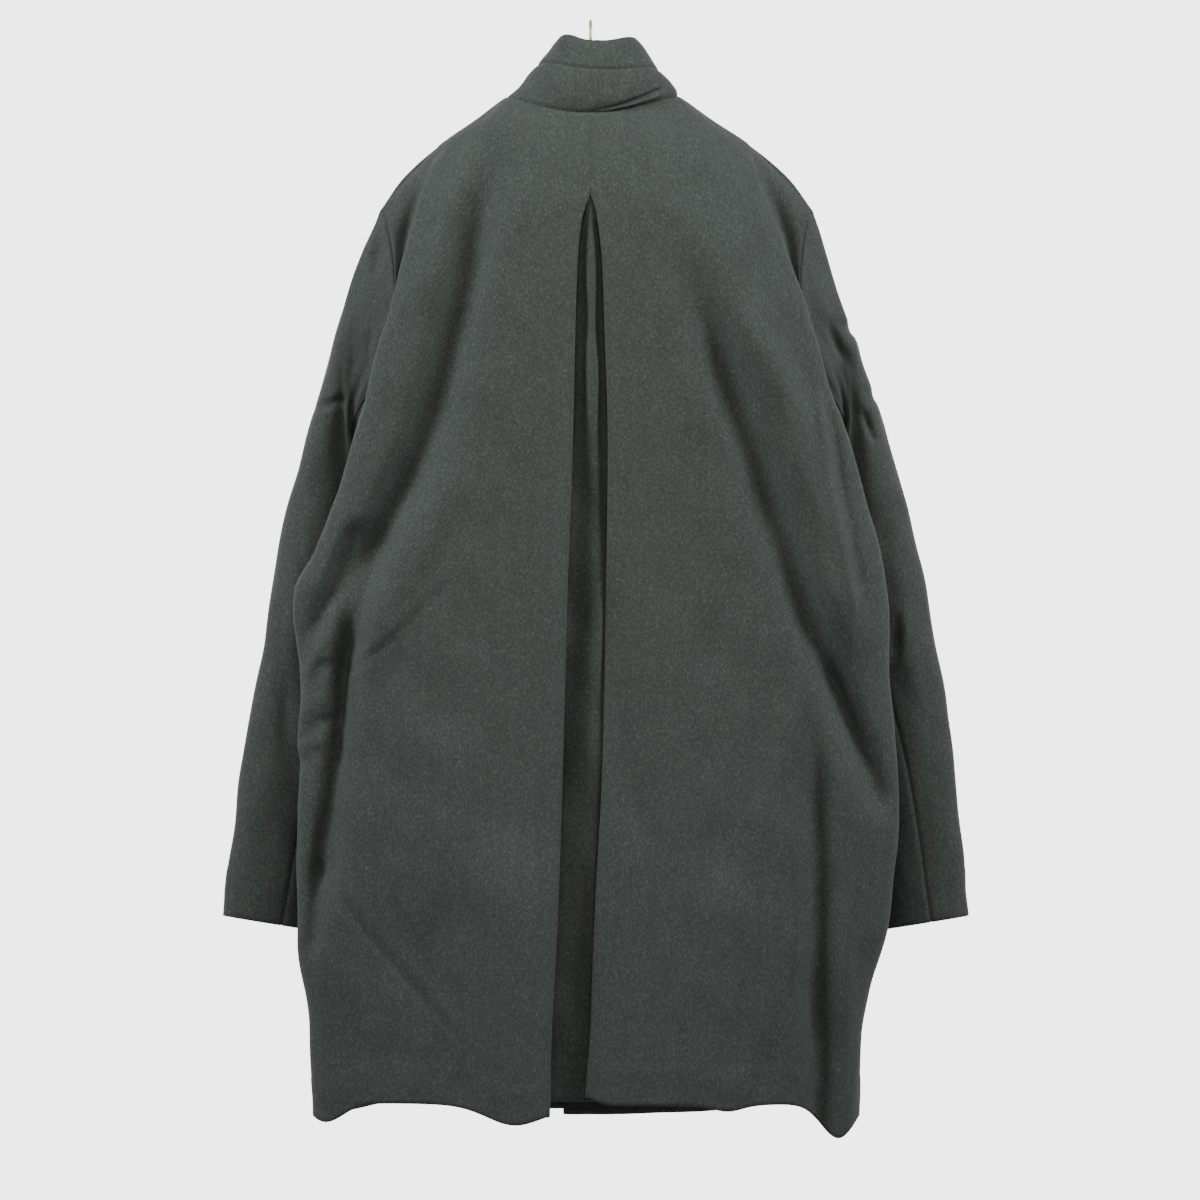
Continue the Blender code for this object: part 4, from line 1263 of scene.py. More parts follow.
def flat_places(name, grid, number):
    """Place of each point on the flat cloth, in millimetres, with the pieces laid one after another."""
    across = lengths(grid, 1)[0]
    grain = across[:, [GRAIN_COLUMN.get(name, across.shape[1] // 2)]]
    flat = np.stack([across - grain, -lengths(grid, 0)[1], 0 * across], -1) / MM
    flat += (0, LAID_APART * number, PATTERN_SLICE)
    return flat


def rim_places(rows, columns):
    """Numbers of the points round a grid's edge, in order."""
    rim = list(range(columns))
    rim += [r * columns + columns - 1 for r in range(1, rows)]
    rim += [(rows - 1) * columns + c for c in range(columns - 2, -1, -1)]
    rim += [r * columns for r in range(rows - 2, 0, -1)]
    return np.array(rim)


def edge_steps(grid, free):
    """Direction out of the piece along its free edges; zero elsewhere."""
    out = np.zeros(grid.shape)
    for name in free:
        line = EDGES[name]
        along = np.gradient(grid, axis=0 if name in ("top", "low") else 1)[line]
        out[line] += unit(-along if name in ("top", "start") else along)
    return unit(out)


def cloth_mesh(name, grid, normal, thick, flat, sewn):
    """Closed shell of cloth: outer face, inner face and a rim, rounded where the edge is free."""
    rows, columns = grid.shape[:2]
    count = rows * columns
    outer = grid
    inner = grid - normal * thick[..., None]
    rim = rim_places(rows, columns)
    free = [edge for edge in EDGES if edge not in sewn]
    bulge = edge_steps(grid, free) * RIM_ROUND * thick[..., None]
    for edge in sewn:
        bulge[EDGES[edge]] = 0
    rounded = np.linalg.norm(bulge, axis=-1).reshape(-1)[rim] > 0
    rounded = rounded | np.roll(rounded, -1)
    middle = ((outer + inner) / 2 + bulge).reshape(-1, 3)[rim]
    points = np.concatenate([outer.reshape(-1, 3), inner.reshape(-1, 3), middle])
    places = np.concatenate([flat.reshape(-1, 3), flat.reshape(-1, 3), flat.reshape(-1, 3)[rim]])
    corner = (np.arange(rows - 1)[:, None] * columns + np.arange(columns - 1)).reshape(-1)
    quads = np.stack([corner, corner + columns, corner + columns + 1, corner + 1], -1)
    here = np.arange(len(rim))
    after = np.roll(here, -1)
    first = np.stack([rim[here], rim[after], 2 * count + after, 2 * count + here], -1)
    second = np.stack([2 * count + here, 2 * count + after, count + rim[after], count + rim[here]], -1)
    loops = np.concatenate([quads, count + quads[:, ::-1], first, second])
    mesh = bpy.data.meshes.new(name)
    mesh.vertices.add(len(points))
    mesh.vertices.foreach_set("co", points.reshape(-1).astype(np.float32))
    mesh.loops.add(loops.size)
    mesh.loops.foreach_set("vertex_index", loops.reshape(-1).astype(np.int32))
    mesh.polygons.add(len(loops))
    mesh.polygons.foreach_set("loop_start", np.arange(0, loops.size, 4, dtype=np.int32))
    smooth_faces = np.concatenate([np.ones(2 * len(quads), bool), rounded, rounded])
    mesh.polygons.foreach_set("use_smooth", smooth_faces)
    mesh.update()
    mesh.validate()
    weave = mesh.attributes.new("flat_place", "FLOAT_VECTOR", "POINT")
    weave.data.foreach_set("vector", places.reshape(-1).astype(np.float32))
    return mesh


print("a shell is", CLOTH, "m thick")

# %% [markdown]
# ## Brushed melange wool
#
# The cloth is a wool flannel, woven from yarns that were spun from dark and light fibres and then brushed.
# The eye sees a dark grey-green ground with fine paler flecks, longer along the warp, soft patches a few
# centimetres wide, a faint stripe where the warp yarns differ, a short nap that catches a little light at
# the edges, and no gloss. A single yarn is about half a millimetre, too fine to show here, so flecks and
# weave are drawn at just under two millimetres.

# %% Wool
# Length after which a Wave Texture of scale 1 repeats
WAVE_LENGTH = 2 * math.pi / 20

FLECK_SIZE = 1.8
FLECK_STRETCH = 1.5
PATCH_SIZE = 26.0
STRIPE_SPACING = 17.0
WEAVE_SPACING = 1.7
NAP_DEPTH = 0.25 * MM


def melange_wool():
    wool, tree, shader = new_material("brushed_melange_wool", {
        "Roughness": 0.92,
        "Specular IOR Level": 0.18,
        "Sheen Weight": 0.05,
        "Sheen Roughness": 0.45,
        "Sheen Tint": colour("#C9D2CE"),
    })
    place = add_node(tree, "ShaderNodeAttribute", {"attribute_name": "flat_place"})
    along = add_node(tree, "ShaderNodeMapping", {"Scale": (1.0, 1 / FLECK_STRETCH, 1.0)},
                     {"Vector": place.outputs["Vector"]})
    fleck = add_node(tree, "ShaderNodeTexNoise", {"Scale": 1 / FLECK_SIZE, "Detail": 3.0, "Roughness": 0.62},
                     {"Vector": along.outputs["Vector"]})
    ground = add_node(tree, "ShaderNodeValToRGB", links={"Fac": fleck.outputs["Fac"]})
    ramp_colours = (("#2A2E2D", 0.28), ("#303534", 0.44), ("#363B3A", 0.58), ("#4C514F", 0.82))
    for i, (tone, at) in enumerate(ramp_colours):
        stop = ground.color_ramp.elements[i] if i < 2 else ground.color_ramp.elements.new(at)
        stop.position = at
        stop.color = colour(tone)
    patch = add_node(tree, "ShaderNodeTexNoise", {"Scale": 1 / PATCH_SIZE, "Detail": 2.0},
                     {"Vector": place.outputs["Vector"]})
    patch_tone = add_node(tree, "ShaderNodeMapRange", {"To Min": 0.9, "To Max": 1.1},
                          {"Value": patch.outputs["Fac"]})
    stripe = add_node(tree, "ShaderNodeTexWave",
                      {"Scale": WAVE_LENGTH / STRIPE_SPACING, "Distortion": 0.4, "Detail": 0.0,
                       "bands_direction": "X"},
                      {"Vector": place.outputs["Vector"]})
    stripe_tone = add_node(tree, "ShaderNodeMapRange", {"To Min": 0.985, "To Max": 1.015},
                           {"Value": stripe.outputs["Fac"]})
    tone = add_node(tree, "ShaderNodeMath", {"operation": "MULTIPLY"},
                    {0: patch_tone.outputs["Result"], 1: stripe_tone.outputs["Result"]})
    dyed = add_node(tree, "ShaderNodeVectorMath", {"operation": "SCALE"},
                    {0: ground.outputs["Color"], "Scale": tone.outputs["Value"]})
    tree.links.new(dyed.outputs["Vector"], shader.inputs["Base Color"])
    yarn = add_node(tree, "ShaderNodeTexVoronoi", {"Scale": 1 / WEAVE_SPACING, "Randomness": 0.55},
                    {"Vector": along.outputs["Vector"]})
    height = add_node(tree, "ShaderNodeMath", {"operation": "ADD"},
                      {0: yarn.outputs["Distance"], 1: fleck.outputs["Fac"]})
    nap = add_node(tree, "ShaderNodeBump", {"Strength": 0.5, "Distance": NAP_DEPTH},
                   {"Height": height.outputs["Value"]})
    tree.links.new(nap.outputs["Normal"], shader.inputs["Normal"])
    return wool


wool = melange_wool()
print("material:", wool.name)

# %% [markdown]
# ## Cutting list
#
# Each piece is a sheet of cloth that was cut flat before it was sewn and hung. The list gives the number of
# faces of each piece and the area of the cut itself. The two sides of the coat are cut alike.


def area_of(mesh):
    return sum(face.area for face in mesh.polygons) / 2


# %% Faces that meet along the seams
grids = {name: add_close_lines(face, SEWN.get(name, SLEEVE_SEWN)) for name, face in faces.items()}
normals = {name: facing(grid) for name, grid in grids.items()}
directions = shared_directions(grids, normals)
print("points in all:", sum(grid.shape[0] * grid.shape[1] for grid in grids.values()))

# %% Sew the cloth
SNUG_SHARE = 1.4
FOLDED_SHARE = 0.6
QUIET_COLUMNS = (14, 26)


def piece_relief(name, grid, sewn):
    """All relief of a piece apart from its unevenness."""
    relief = seam_relief(name, grid, sewn)
    if name.startswith("sleeve"):
        relief += turn_up_relief(grid, CUFF_TURN_UP)
        relief += crease_relief(side_of(name), grid, directions[name])
    if name.startswith(("back", "front", "pleat")):
        relief += turn_up_relief(grid, HEM_TURN_UP)
    if name == "collar_lower":
        relief += roll_relief(grid)
    return relief


def folded_back(side, grid):
    """Share of unevenness across a back, none at its folded edge, and its thickness, least in the fold."""
    bent = RETURN_COLUMNS + BEND_COLUMNS
    quiet = np.zeros(grid.shape[1])
    quiet[bent:] = ramp(np.arange(grid.shape[1] - bent), *QUIET_COLUMNS)
    folded = slice(0, bent)
    if side < 0:
        quiet = quiet[::-1]
        folded = slice(-bent, None)
    thick = np.full(grid.shape[:2], CLOTH) * between(FOLDED_SHARE, 1.0, quiet)
    radius = fold_radius(side, -grid[:, [folded.start], 2])
    thick[:, folded] = np.minimum(thick[:, folded], SNUG_SHARE * radius)
    return quiet, thick


for number, (name, grid) in enumerate(grids.items()):
    sewn = SEWN.get(name, SLEEVE_SEWN)
    flat = flat_places(name, grid, number)
    uneven = uneven_relief(grid, flat, number)
    thick = np.full(grid.shape[:2], CLOTH)
    if name.startswith("back"):
        quiet, thick = folded_back(side_of(name), grid)
        uneven = uneven * quiet
    normal = directions[name]
    grid = grid + normal * (piece_relief(name, grid, sewn) + uneven)[..., None]
    mesh = cloth_mesh("cloth_" + name, grid, normal, thick, flat, sewn)
    mesh.materials.append(wool)
    piece = bpy.data.objects.new("cloth_" + name, mesh)
    scene.collection.objects.link(piece)
    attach(piece, "root")
    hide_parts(name)
    print(name, len(mesh.polygons), "faces,", round(area_of(mesh), 4), "square metres")

# %% [markdown]
# ## Hanger
#
# The hanger is a beech bar, sawn to the slope of the shoulders and sanded round, with a steel wire hook in
# its top. Only the hook shows above the collar. The bar is a row of rounded sections from tip to tip, which
# is easier to control than a block with bevels, and the wire is a curve with a round bevel, turned into a
# mesh.

# %% Sizes of the hanger
BAR_HALF_LENGTH = 152 * MM
BAR_HALF_DEPTH = 9 * MM
BAR_WIDER = 7 * MM
BAR_HALF_HEIGHT = 8 * MM
BAR_BELOW_CLOTH = 2.7 * MM
BAR_NECK_DIP = 4 * MM
BAR_TIP_DIP = 2 * MM
BAR_NECK_ENDS = (90 * MM, 115 * MM)
BAR_TIP_STARTS = (125 * MM, 150 * MM)
BAR_WIDENS = (0.2, 0.7)
BAR_TIP_ROUND = 8
BAR_TIP_LEAST = 0.05
BAR_PEAK = 0.45
BAR_SECTIONS = 96
BAR_SIDES = 36
WIRE_RADIUS = 1.6 * MM
HOOK_RADIUS = 17.6 * MM
HOOK_TIP_DEG = 200
HOOK_END_DEG = -70
HOOK_POINTS = 49
HOOK_SEAT = 0.4 * MM
WIRE_STEPS = 6

# Bend between the hook and its straight foot: share of the depth that is left, and drop
HOOK_BEND = table(
    "depth_share drop",
    (0.62, 1.4),
    (0.35, 3.2),
    (0.1, 6),
    (0, 9),
)


def bar_top(side, out):
    """Height of the bar's upper edge below the hook."""
    dip = BAR_NECK_DIP * (1 - ramp(out, *BAR_NECK_ENDS)) + BAR_TIP_DIP * ramp(out, *BAR_TIP_STARTS)
    return shoulder_drop(side, out) + BAR_BELOW_CLOTH + dip


def bar_points():
    """Rounded sections of the bar from the right tip to the left."""
    around = np.linspace(0, 2 * math.pi, BAR_SIDES + 1)[:-1]
    rings = []
    for place in np.sin(np.linspace(-0.5, 0.5, BAR_SECTIONS + 1) * math.pi):
        out = abs(place) * BAR_HALF_LENGTH
        end = math.sqrt(max(1 - abs(place) ** BAR_TIP_ROUND, BAR_TIP_LEAST))
        deep = (BAR_HALF_DEPTH + BAR_WIDER * ramp(abs(place), *BAR_WIDENS)) * end
        y = deep * np.cos(around)
        z = BAR_HALF_HEIGHT * end * (np.sin(around) - 1) - BAR_PEAK * np.abs(y)
        top = bar_top(1 if place > 0 else -1, out)
        rings.append(np.stack([0 * y + place * BAR_HALF_LENGTH, y, z - top], -1))
    return np.array(rings)


def bar_mesh(rings):
    """Closed mesh through the rings, with a flat face at each tip."""
    count = rings.shape[1]
    faces = [tuple(range(count)), tuple(rings.shape[0] * count - 1 - i for i in range(count))]
    for r in range(len(rings) - 1):
        for c in range(count):
            d = (c + 1) % count
            faces.append((r * count + c, (r + 1) * count + c, (r + 1) * count + d, r * count + d))
    mesh = bpy.data.meshes.new("beech_bar")
    mesh.from_pydata(rings.reshape(-1, 3).tolist(), [], faces)
    form = bmesh.new()
    form.from_mesh(mesh)
    bmesh.ops.recalc_face_normals(form, faces=form.faces)
    for face in form.faces:
        face.smooth = len(face.verts) == 4
    form.to_mesh(mesh)
    form.free()
    return mesh


print("bar:", round(2 * BAR_HALF_LENGTH, 3), "m long")

# %% [markdown]
# ### Beech
#
# Steamed beech is a pale pinkish brown with a straight grain and many short dark flecks, the cut ends of
# its rays. Growth rings are two to three millimetres apart and the flecks two to four millimetres long. The
# wood is sanded and waxed, so it has a dull gloss. Stretched noise along the bar gives both, since the
# grain runs from tip to tip.

# %% Beech
RING_SPACING = 2.6 * MM
GRAIN_SHARE = 0.04
PORE_DEPTH = 0.2 * MM
RAY_LENGTH = 3.2 * MM
RAY_WIDTH = 0.5 * MM


def waxed_beech():
    beech, tree, shader = new_material("waxed_beech", {"Roughness": 0.42, "IOR": 1.5})
    place = add_node(tree, "ShaderNodeTexCoord")
    grain = add_node(tree, "ShaderNodeMapping",
                     {"Scale": (GRAIN_SHARE / RING_SPACING, 1 / RING_SPACING, 1 / RING_SPACING)},
                     {"Vector": place.outputs["Object"]})
    rings = add_node(tree, "ShaderNodeTexNoise", {"Scale": 1.0, "Detail": 4.0, "Roughness": 0.55},
                     {"Vector": grain.outputs["Vector"]})
    ground = add_node(tree, "ShaderNodeValToRGB", links={"Fac": rings.outputs["Fac"]})
    ground.color_ramp.elements[0].position = 0.32
    ground.color_ramp.elements[0].color = colour("#A97A50")
    ground.color_ramp.elements[1].position = 0.68
    ground.color_ramp.elements[1].color = colour("#D2A878")
    short = add_node(tree, "ShaderNodeMapping", {"Scale": (1 / RAY_LENGTH, 1 / RAY_WIDTH, 1 / RAY_WIDTH)},
                     {"Vector": place.outputs["Object"]})
    rays = add_node(tree, "ShaderNodeTexVoronoi", {"Scale": 0.5}, {"Vector": short.outputs["Vector"]})
    fleck = add_node(tree, "ShaderNodeMapRange",
                     {"From Min": 0.10, "From Max": 0.26, "To Min": 0.6, "To Max": 0.0},
                     {"Value": rays.outputs["Distance"]})
    tone = add_node(tree, "ShaderNodeMix", {"data_type": "RGBA", 7: colour("#7C5433")},
                    {0: fleck.outputs["Result"], 6: ground.outputs["Color"]})
    tree.links.new(tone.outputs[2], shader.inputs["Base Color"])
    pores = add_node(tree, "ShaderNodeBump", {"Strength": 0.25, "Distance": PORE_DEPTH},
                     {"Height": rings.outputs["Fac"]})
    tree.links.new(pores.outputs["Normal"], shader.inputs["Normal"])
    return beech


bar = bpy.data.objects.new("beech_bar", bar_mesh(bar_points()))
bar.data.materials.append(waxed_beech())
scene.collection.objects.link(bar)
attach(bar, "root")
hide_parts("hanger_bar")
print("faces of the bar:", len(bar.data.polygons))

# %% [markdown]
# ### Wire hook
#
# The hook is drawn steel wire, a little over three millimetres thick, bent cold and plated with zinc, which
# ages to a dull yellowish grey. Drawing leaves fine lines along the wire, so the roughness varies slightly
# from line to line.

# %% Wire hook
WIRE_LINES = (2500, 2500, 120)


def hook_path():
    """Middle line of the wire, from the tip round the bend and down into the bar."""
    arc = np.radians(np.linspace(HOOK_TIP_DEG, HOOK_END_DEG, HOOK_POINTS))
    path = [(HOOK_RADIUS * math.cos(a), HOOK_RADIUS * (math.sin(a) - 1) + WIRE_RADIUS) for a in arc]
    end_y, end_z = path[-1]
    for share, drop in zip(HOOK_BEND["depth_share"], HOOK_BEND["drop"]):
        path.append((end_y * share, end_z - drop))
    foot = -bar_top(1, 0.0) + HOOK_SEAT
    return path + [(0.0, foot)]


def plain_mesh(piece):
    """What a piece's curve or modifiers make, as a mesh of its own."""
    return bpy.data.meshes.new_from_object(piece.evaluated_get(bpy.context.evaluated_depsgraph_get()))


def wire_tube(name, path, radius):
    """Round wire along a path, as a plain mesh."""
    data = bpy.data.curves.new(name, "CURVE")
    data.dimensions = "3D"
    data.bevel_depth = radius
    data.bevel_resolution = WIRE_STEPS
    data.use_fill_caps = True
    line = data.splines.new("POLY")
    line.points.add(len(path) - 1)
    for point, (y, z) in zip(line.points, path):
        point.co = (0.0, y, z, 1.0)
    bent = bpy.data.objects.new(name, data)
    scene.collection.objects.link(bent)
    mesh = plain_mesh(bent)
    bpy.data.objects.remove(bent)
    mesh.name = name
    return mesh


def plated_wire():
    zinc = {"Metallic": 1.0, "Base Color": colour("#A9A791")}
    steel, tree, shader = new_material("plated_steel_wire", zinc)
    place = add_node(tree, "ShaderNodeTexCoord")
    drawn = add_node(tree, "ShaderNodeMapping", {"Scale": WIRE_LINES},
                     {"Vector": place.outputs["Object"]})
    lines = add_node(tree, "ShaderNodeTexNoise", {"Scale": 1.0, "Detail": 2.0},
                     {"Vector": drawn.outputs["Vector"]})
    dull = add_node(tree, "ShaderNodeMapRange", {"To Min": 0.46, "To Max": 0.6},
                    {"Value": lines.outputs["Fac"]})
    tree.links.new(dull.outputs["Result"], shader.inputs["Roughness"])
    return steel


hook = bpy.data.objects.new("wire_hook", wire_tube("wire_hook", hook_path(), WIRE_RADIUS))
hook.data.materials.append(plated_wire())
scene.collection.objects.link(hook)
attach(hook, "root")
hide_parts("hanger_hook")
print("faces of the hook:", len(hook.data.polygons))

# %% [markdown]
# ## Buttons
#
# The buttons are turned from dark horn: a disc with a raised rim, a dished middle and four holes. A lathe
# profile gives the disc, and four pegs are cut out of it with a Boolean modifier, as a drill would.

# %% Shape of a button
BUTTONS = 5
BUTTON_RADIUS = 11 * MM
BUTTON_THICKNESS = 3.6 * MM
BUTTON_SIDES = 72
HOLE_RADIUS = 1.1 * MM
HOLE_OUT = 2.1 * MM
PEG_SIDES = 16
PEG_UNDER = 1 * MM
PEG_OVER = 5 * MM

BUTTON_PROFILE = table(
    "out_share high_share",
    (0, 0),
    (0.80, 0),
    (0.95, 0.12),
    (1.0, 0.34),
    (1.0, 0.68),
    (0.97, 0.88),
    (0.90, 1.0),
    (0.82, 1.0),
    (0.75, 0.90),
    (0.67, 0.72),
    (0.45, 0.64),
    (0, 0.62),
)


def turned_form(form, outline, middle, sides):
    """Lathe form round a level axis that points towards the front; outline gives radius and height pairs."""
    rings = []
    for radius, high in outline:
        turns = np.linspace(0, 2 * math.pi, sides + 1)[:-1] if radius else np.zeros(1)
        rings.append([form.verts.new((middle[0] + radius * math.cos(a), middle[1] - high,
                                      middle[2] + radius * math.sin(a))) for a in turns])
    for low, high in zip(rings, rings[1:]):
        for c in range(sides):
            d = (c + 1) % sides
            corners = [low[c % len(low)], low[d % len(low)], high[d % len(high)], high[c % len(high)]]
            form.faces.new(list(dict.fromkeys(corners)))


def mesh_from(name, form):
    """Plain mesh from a form whose faces are turned outwards."""
    bmesh.ops.recalc_face_normals(form, faces=form.faces)
    for face in form.faces:
        face.smooth = True
    mesh = bpy.data.meshes.new(name)
    form.to_mesh(mesh)
    form.free()
    return mesh


def hole_places(middle):
    """Middles of the four holes of a button."""
    return [(middle[0] + x * HOLE_OUT, middle[1], middle[2] + z * HOLE_OUT)
            for x, z in ((-1, -1), (1, -1), (1, 1), (-1, 1))]


def button_mesh(name, middle):
    """Turned disc with four holes, its underside at the middle."""
    radii = BUTTON_PROFILE["out_share"] * BUTTON_RADIUS
    heights = BUTTON_PROFILE["high_share"] * BUTTON_THICKNESS
    disc_form = bmesh.new()
    turned_form(disc_form, zip(radii, heights), middle, BUTTON_SIDES)
    peg_form = bmesh.new()
    for hole in hole_places(middle):
        peg = [(0, -PEG_UNDER), (HOLE_RADIUS, -PEG_UNDER), (HOLE_RADIUS, PEG_OVER), (0, PEG_OVER)]
        turned_form(peg_form, peg, hole, PEG_SIDES)
    disc = bpy.data.objects.new(name, mesh_from(name, disc_form))
    pegs = bpy.data.objects.new("pegs", mesh_from("pegs", peg_form))
    for part in (disc, pegs):
        scene.collection.objects.link(part)
    drill = disc.modifiers.new("drill", "BOOLEAN")
    drill.object = pegs
    drill.solver = "EXACT"
    mesh = plain_mesh(disc)
    for part in (disc, pegs):
        bpy.data.objects.remove(part)
    return mesh


print("button:", round(2 * BUTTON_RADIUS, 3), "m across")

# %% [markdown]
# ### Horn
#
# Polished horn is nearly black, with brown streaks that run with the layers of the horn and a soft
# wet-looking gloss. The streaks are a few millimetres wide and lie at a slant, different on each button,
# because the pattern is read from the place in space.

# %% Horn
STREAK_WIDTH = 4 * MM
STREAK_SLANT = 0.6
STREAK_SHARES = (1, 0.3, 0.25)


def polished_horn():
    horn, tree, shader = new_material("polished_horn", {"IOR": 1.54, "Specular IOR Level": 0.3})
    place = add_node(tree, "ShaderNodeTexCoord")
    streaks = {
        "Rotation": (0.0, STREAK_SLANT, 0.0),
        "Scale": tuple(share / STREAK_WIDTH for share in STREAK_SHARES),
    }
    slant = add_node(tree, "ShaderNodeMapping", streaks, {"Vector": place.outputs["Object"]})
    streak = add_node(tree, "ShaderNodeTexNoise", {"Scale": 1.0, "Detail": 4.0, "Distortion": 0.6},
                      {"Vector": slant.outputs["Vector"]})
    tone = add_node(tree, "ShaderNodeValToRGB", links={"Fac": streak.outputs["Fac"]})
    tone.color_ramp.elements[0].position = 0.42
    tone.color_ramp.elements[0].color = colour("#1C1A18")
    tone.color_ramp.elements[1].position = 0.75
    tone.color_ramp.elements[1].color = colour("#4A3B2E")
    tree.links.new(tone.outputs["Color"], shader.inputs["Base Color"])
    rub = add_node(tree, "ShaderNodeMapRange", {"To Min": 0.34, "To Max": 0.52},
                   {"Value": streak.outputs["Fac"]})
    tree.links.new(rub.outputs["Result"], shader.inputs["Roughness"])
    return horn


horn = polished_horn()
button_middles = []
for number in range(1, BUTTONS + 1):
    low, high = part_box(f"button_{number}")
    middle = ((low.x + high.x) / 2, high.y, (low.z + high.z) / 2)
    button_middles.append(middle)
    piece = bpy.data.objects.new(f"horn_button_{number}", button_mesh(f"horn_button_{number}", middle))
    piece.data.materials.clear()
    piece.data.materials.append(horn)
    scene.collection.objects.link(piece)
    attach(piece, "root")
    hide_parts(f"button_{number}")
    print(piece.name, len(piece.data.polygons), "faces")

# %% [markdown]
# ## Thread
#
# Each button is sewn on with a few turns of twisted thread through its holes, and comes through a
# buttonhole of the left front, whose slit is bound with close stitches. Stitches repeat along a line, so
# Geometry Nodes make them: one tree turns lines into tubes of thread, and another sets a small arched
# stitch at even steps along a line.

# %% Trees for thread
THREAD_RADIUS = 0.28 * MM
STITCH_WIDTH = 2.3 * MM
STITCH_HEIGHT = 0.5 * MM
STITCH_STEP = 0.72 * MM
STITCH_SIDES = 6
STRAND_SIDES = 8
ARCH_POINTS = 4


def new_tree(name, sizes):
    """Geometry Nodes tree with a named input for each size."""
    tree = bpy.data.node_groups.new(name, "GeometryNodeTree")
    tree.interface.new_socket("Geometry", in_out="INPUT", socket_type="NodeSocketGeometry")
    for size in sizes:
        tree.interface.new_socket(size, in_out="INPUT", socket_type="NodeSocketFloat")
    tree.interface.new_socket("Thread", in_out="INPUT", socket_type="NodeSocketMaterial")
    tree.interface.new_socket("Geometry", in_out="OUTPUT", socket_type="NodeSocketGeometry")
    return tree, add_node(tree, "NodeGroupInput").outputs


def end_tree(tree, given, geometry):
    """Realizes what was made, gives it its material and sends it out."""
    real = add_node(tree, "GeometryNodeRealizeInstances", links={"Geometry": geometry})
    soft = add_node(tree, "GeometryNodeSetShadeSmooth", links={"Geometry": real.outputs["Geometry"]})
    dyed = add_node(tree, "GeometryNodeSetMaterial",
                    links={"Geometry": soft.outputs["Geometry"], "Material": given["Thread"]})
    add_node(tree, "NodeGroupOutput", links={"Geometry": dyed.outputs["Geometry"]})


def strand_tree():
    """Lines become round strands."""
    tree, given = new_tree("sewing_strands", ["Radius"])
    line = add_node(tree, "GeometryNodeMeshToCurve", links={"Mesh": given["Geometry"]})
    ring = add_node(tree, "GeometryNodeCurvePrimitiveCircle", {"Resolution": STRAND_SIDES},
                    {"Radius": given["Radius"]})
    tube = add_node(tree, "GeometryNodeCurveToMesh", {"Fill Caps": True},
                    {"Curve": line.outputs["Curve"], "Profile Curve": ring.outputs["Curve"]})
    end_tree(tree, given, tube.outputs["Mesh"])
    return tree


def stitch_tree():
    """Small arched stitches across a line, at even steps, facing the front."""
    tree, given = new_tree("buttonhole_stitches", ["Radius", "Width", "Height", "Step"])
    half = add_node(tree, "ShaderNodeMath", {"operation": "MULTIPLY", 1: 0.5}, {0: given["Width"]})
    minus = add_node(tree, "ShaderNodeMath", {"operation": "MULTIPLY", 1: -0.5}, {0: given["Width"]})
    start = add_node(tree, "ShaderNodeCombineXYZ", links={"Y": minus.outputs["Value"]})
    crown = add_node(tree, "ShaderNodeCombineXYZ", links={"Z": given["Height"]})
    end = add_node(tree, "ShaderNodeCombineXYZ", links={"Y": half.outputs["Value"]})
    arch = add_node(tree, "GeometryNodeCurveQuadraticBezier", {"Resolution": ARCH_POINTS},
                    {"Start": start.outputs["Vector"], "Middle": crown.outputs["Vector"],
                     "End": end.outputs["Vector"]})
    ring = add_node(tree, "GeometryNodeCurvePrimitiveCircle", {"Resolution": STITCH_SIDES},
                    {"Radius": given["Radius"]})
    stitch = add_node(tree, "GeometryNodeCurveToMesh", {"Fill Caps": True},
                      {"Curve": arch.outputs["Curve"], "Profile Curve": ring.outputs["Curve"]})
    line = add_node(tree, "GeometryNodeMeshToCurve", links={"Mesh": given["Geometry"]})
    places = add_node(tree, "GeometryNodeCurveToPoints", {"mode": "LENGTH"},
                      {"Curve": line.outputs["Curve"], "Length": given["Step"]})
    along = add_node(tree, "FunctionNodeAlignRotationToVector", {"axis": "X"},
                     {"Vector": places.outputs["Tangent"]})
    out = add_node(tree, "FunctionNodeAlignRotationToVector",
                   {"axis": "Z", "pivot_axis": "X", "Vector": (0.0, -1.0, 0.0)},
                   {"Rotation": along.outputs["Rotation"]})
    row = add_node(tree, "GeometryNodeInstanceOnPoints",
                   links={"Points": places.outputs["Points"], "Instance": stitch.outputs["Mesh"],
                          "Rotation": out.outputs["Rotation"]})
    end_tree(tree, given, row.outputs["Instances"])
    return tree


strands = strand_tree()
stitches = stitch_tree()
print("trees:", strands.name, stitches.name)

# %% [markdown]
# ### Twisted thread
#
# Polyester-covered buttonhole thread is dark grey and slightly shiny, and its twist shows as fine slanted
# lines half a millimetre apart. That is too fine for the render, so the twist is drawn at a millimetre.

# %% Thread material
TWIST_SPACING = 1.0 * MM


def twisted_thread():
    thread, tree, shader = new_material("twisted_thread", {"Roughness": 0.6, "Sheen Weight": 0.1})
    place = add_node(tree, "ShaderNodeTexCoord")
    twist = add_node(tree, "ShaderNodeTexWave",
                     {"Scale": WAVE_LENGTH / TWIST_SPACING, "bands_direction": "DIAGONAL"},
                     {"Vector": place.outputs["Object"]})
    tone = add_node(tree, "ShaderNodeValToRGB", links={"Fac": twist.outputs["Fac"]})
    tone.color_ramp.elements[0].color = colour("#1E2221")
    tone.color_ramp.elements[1].color = colour("#3A3F3D")
    tree.links.new(tone.outputs["Color"], shader.inputs["Base Color"])
    return thread


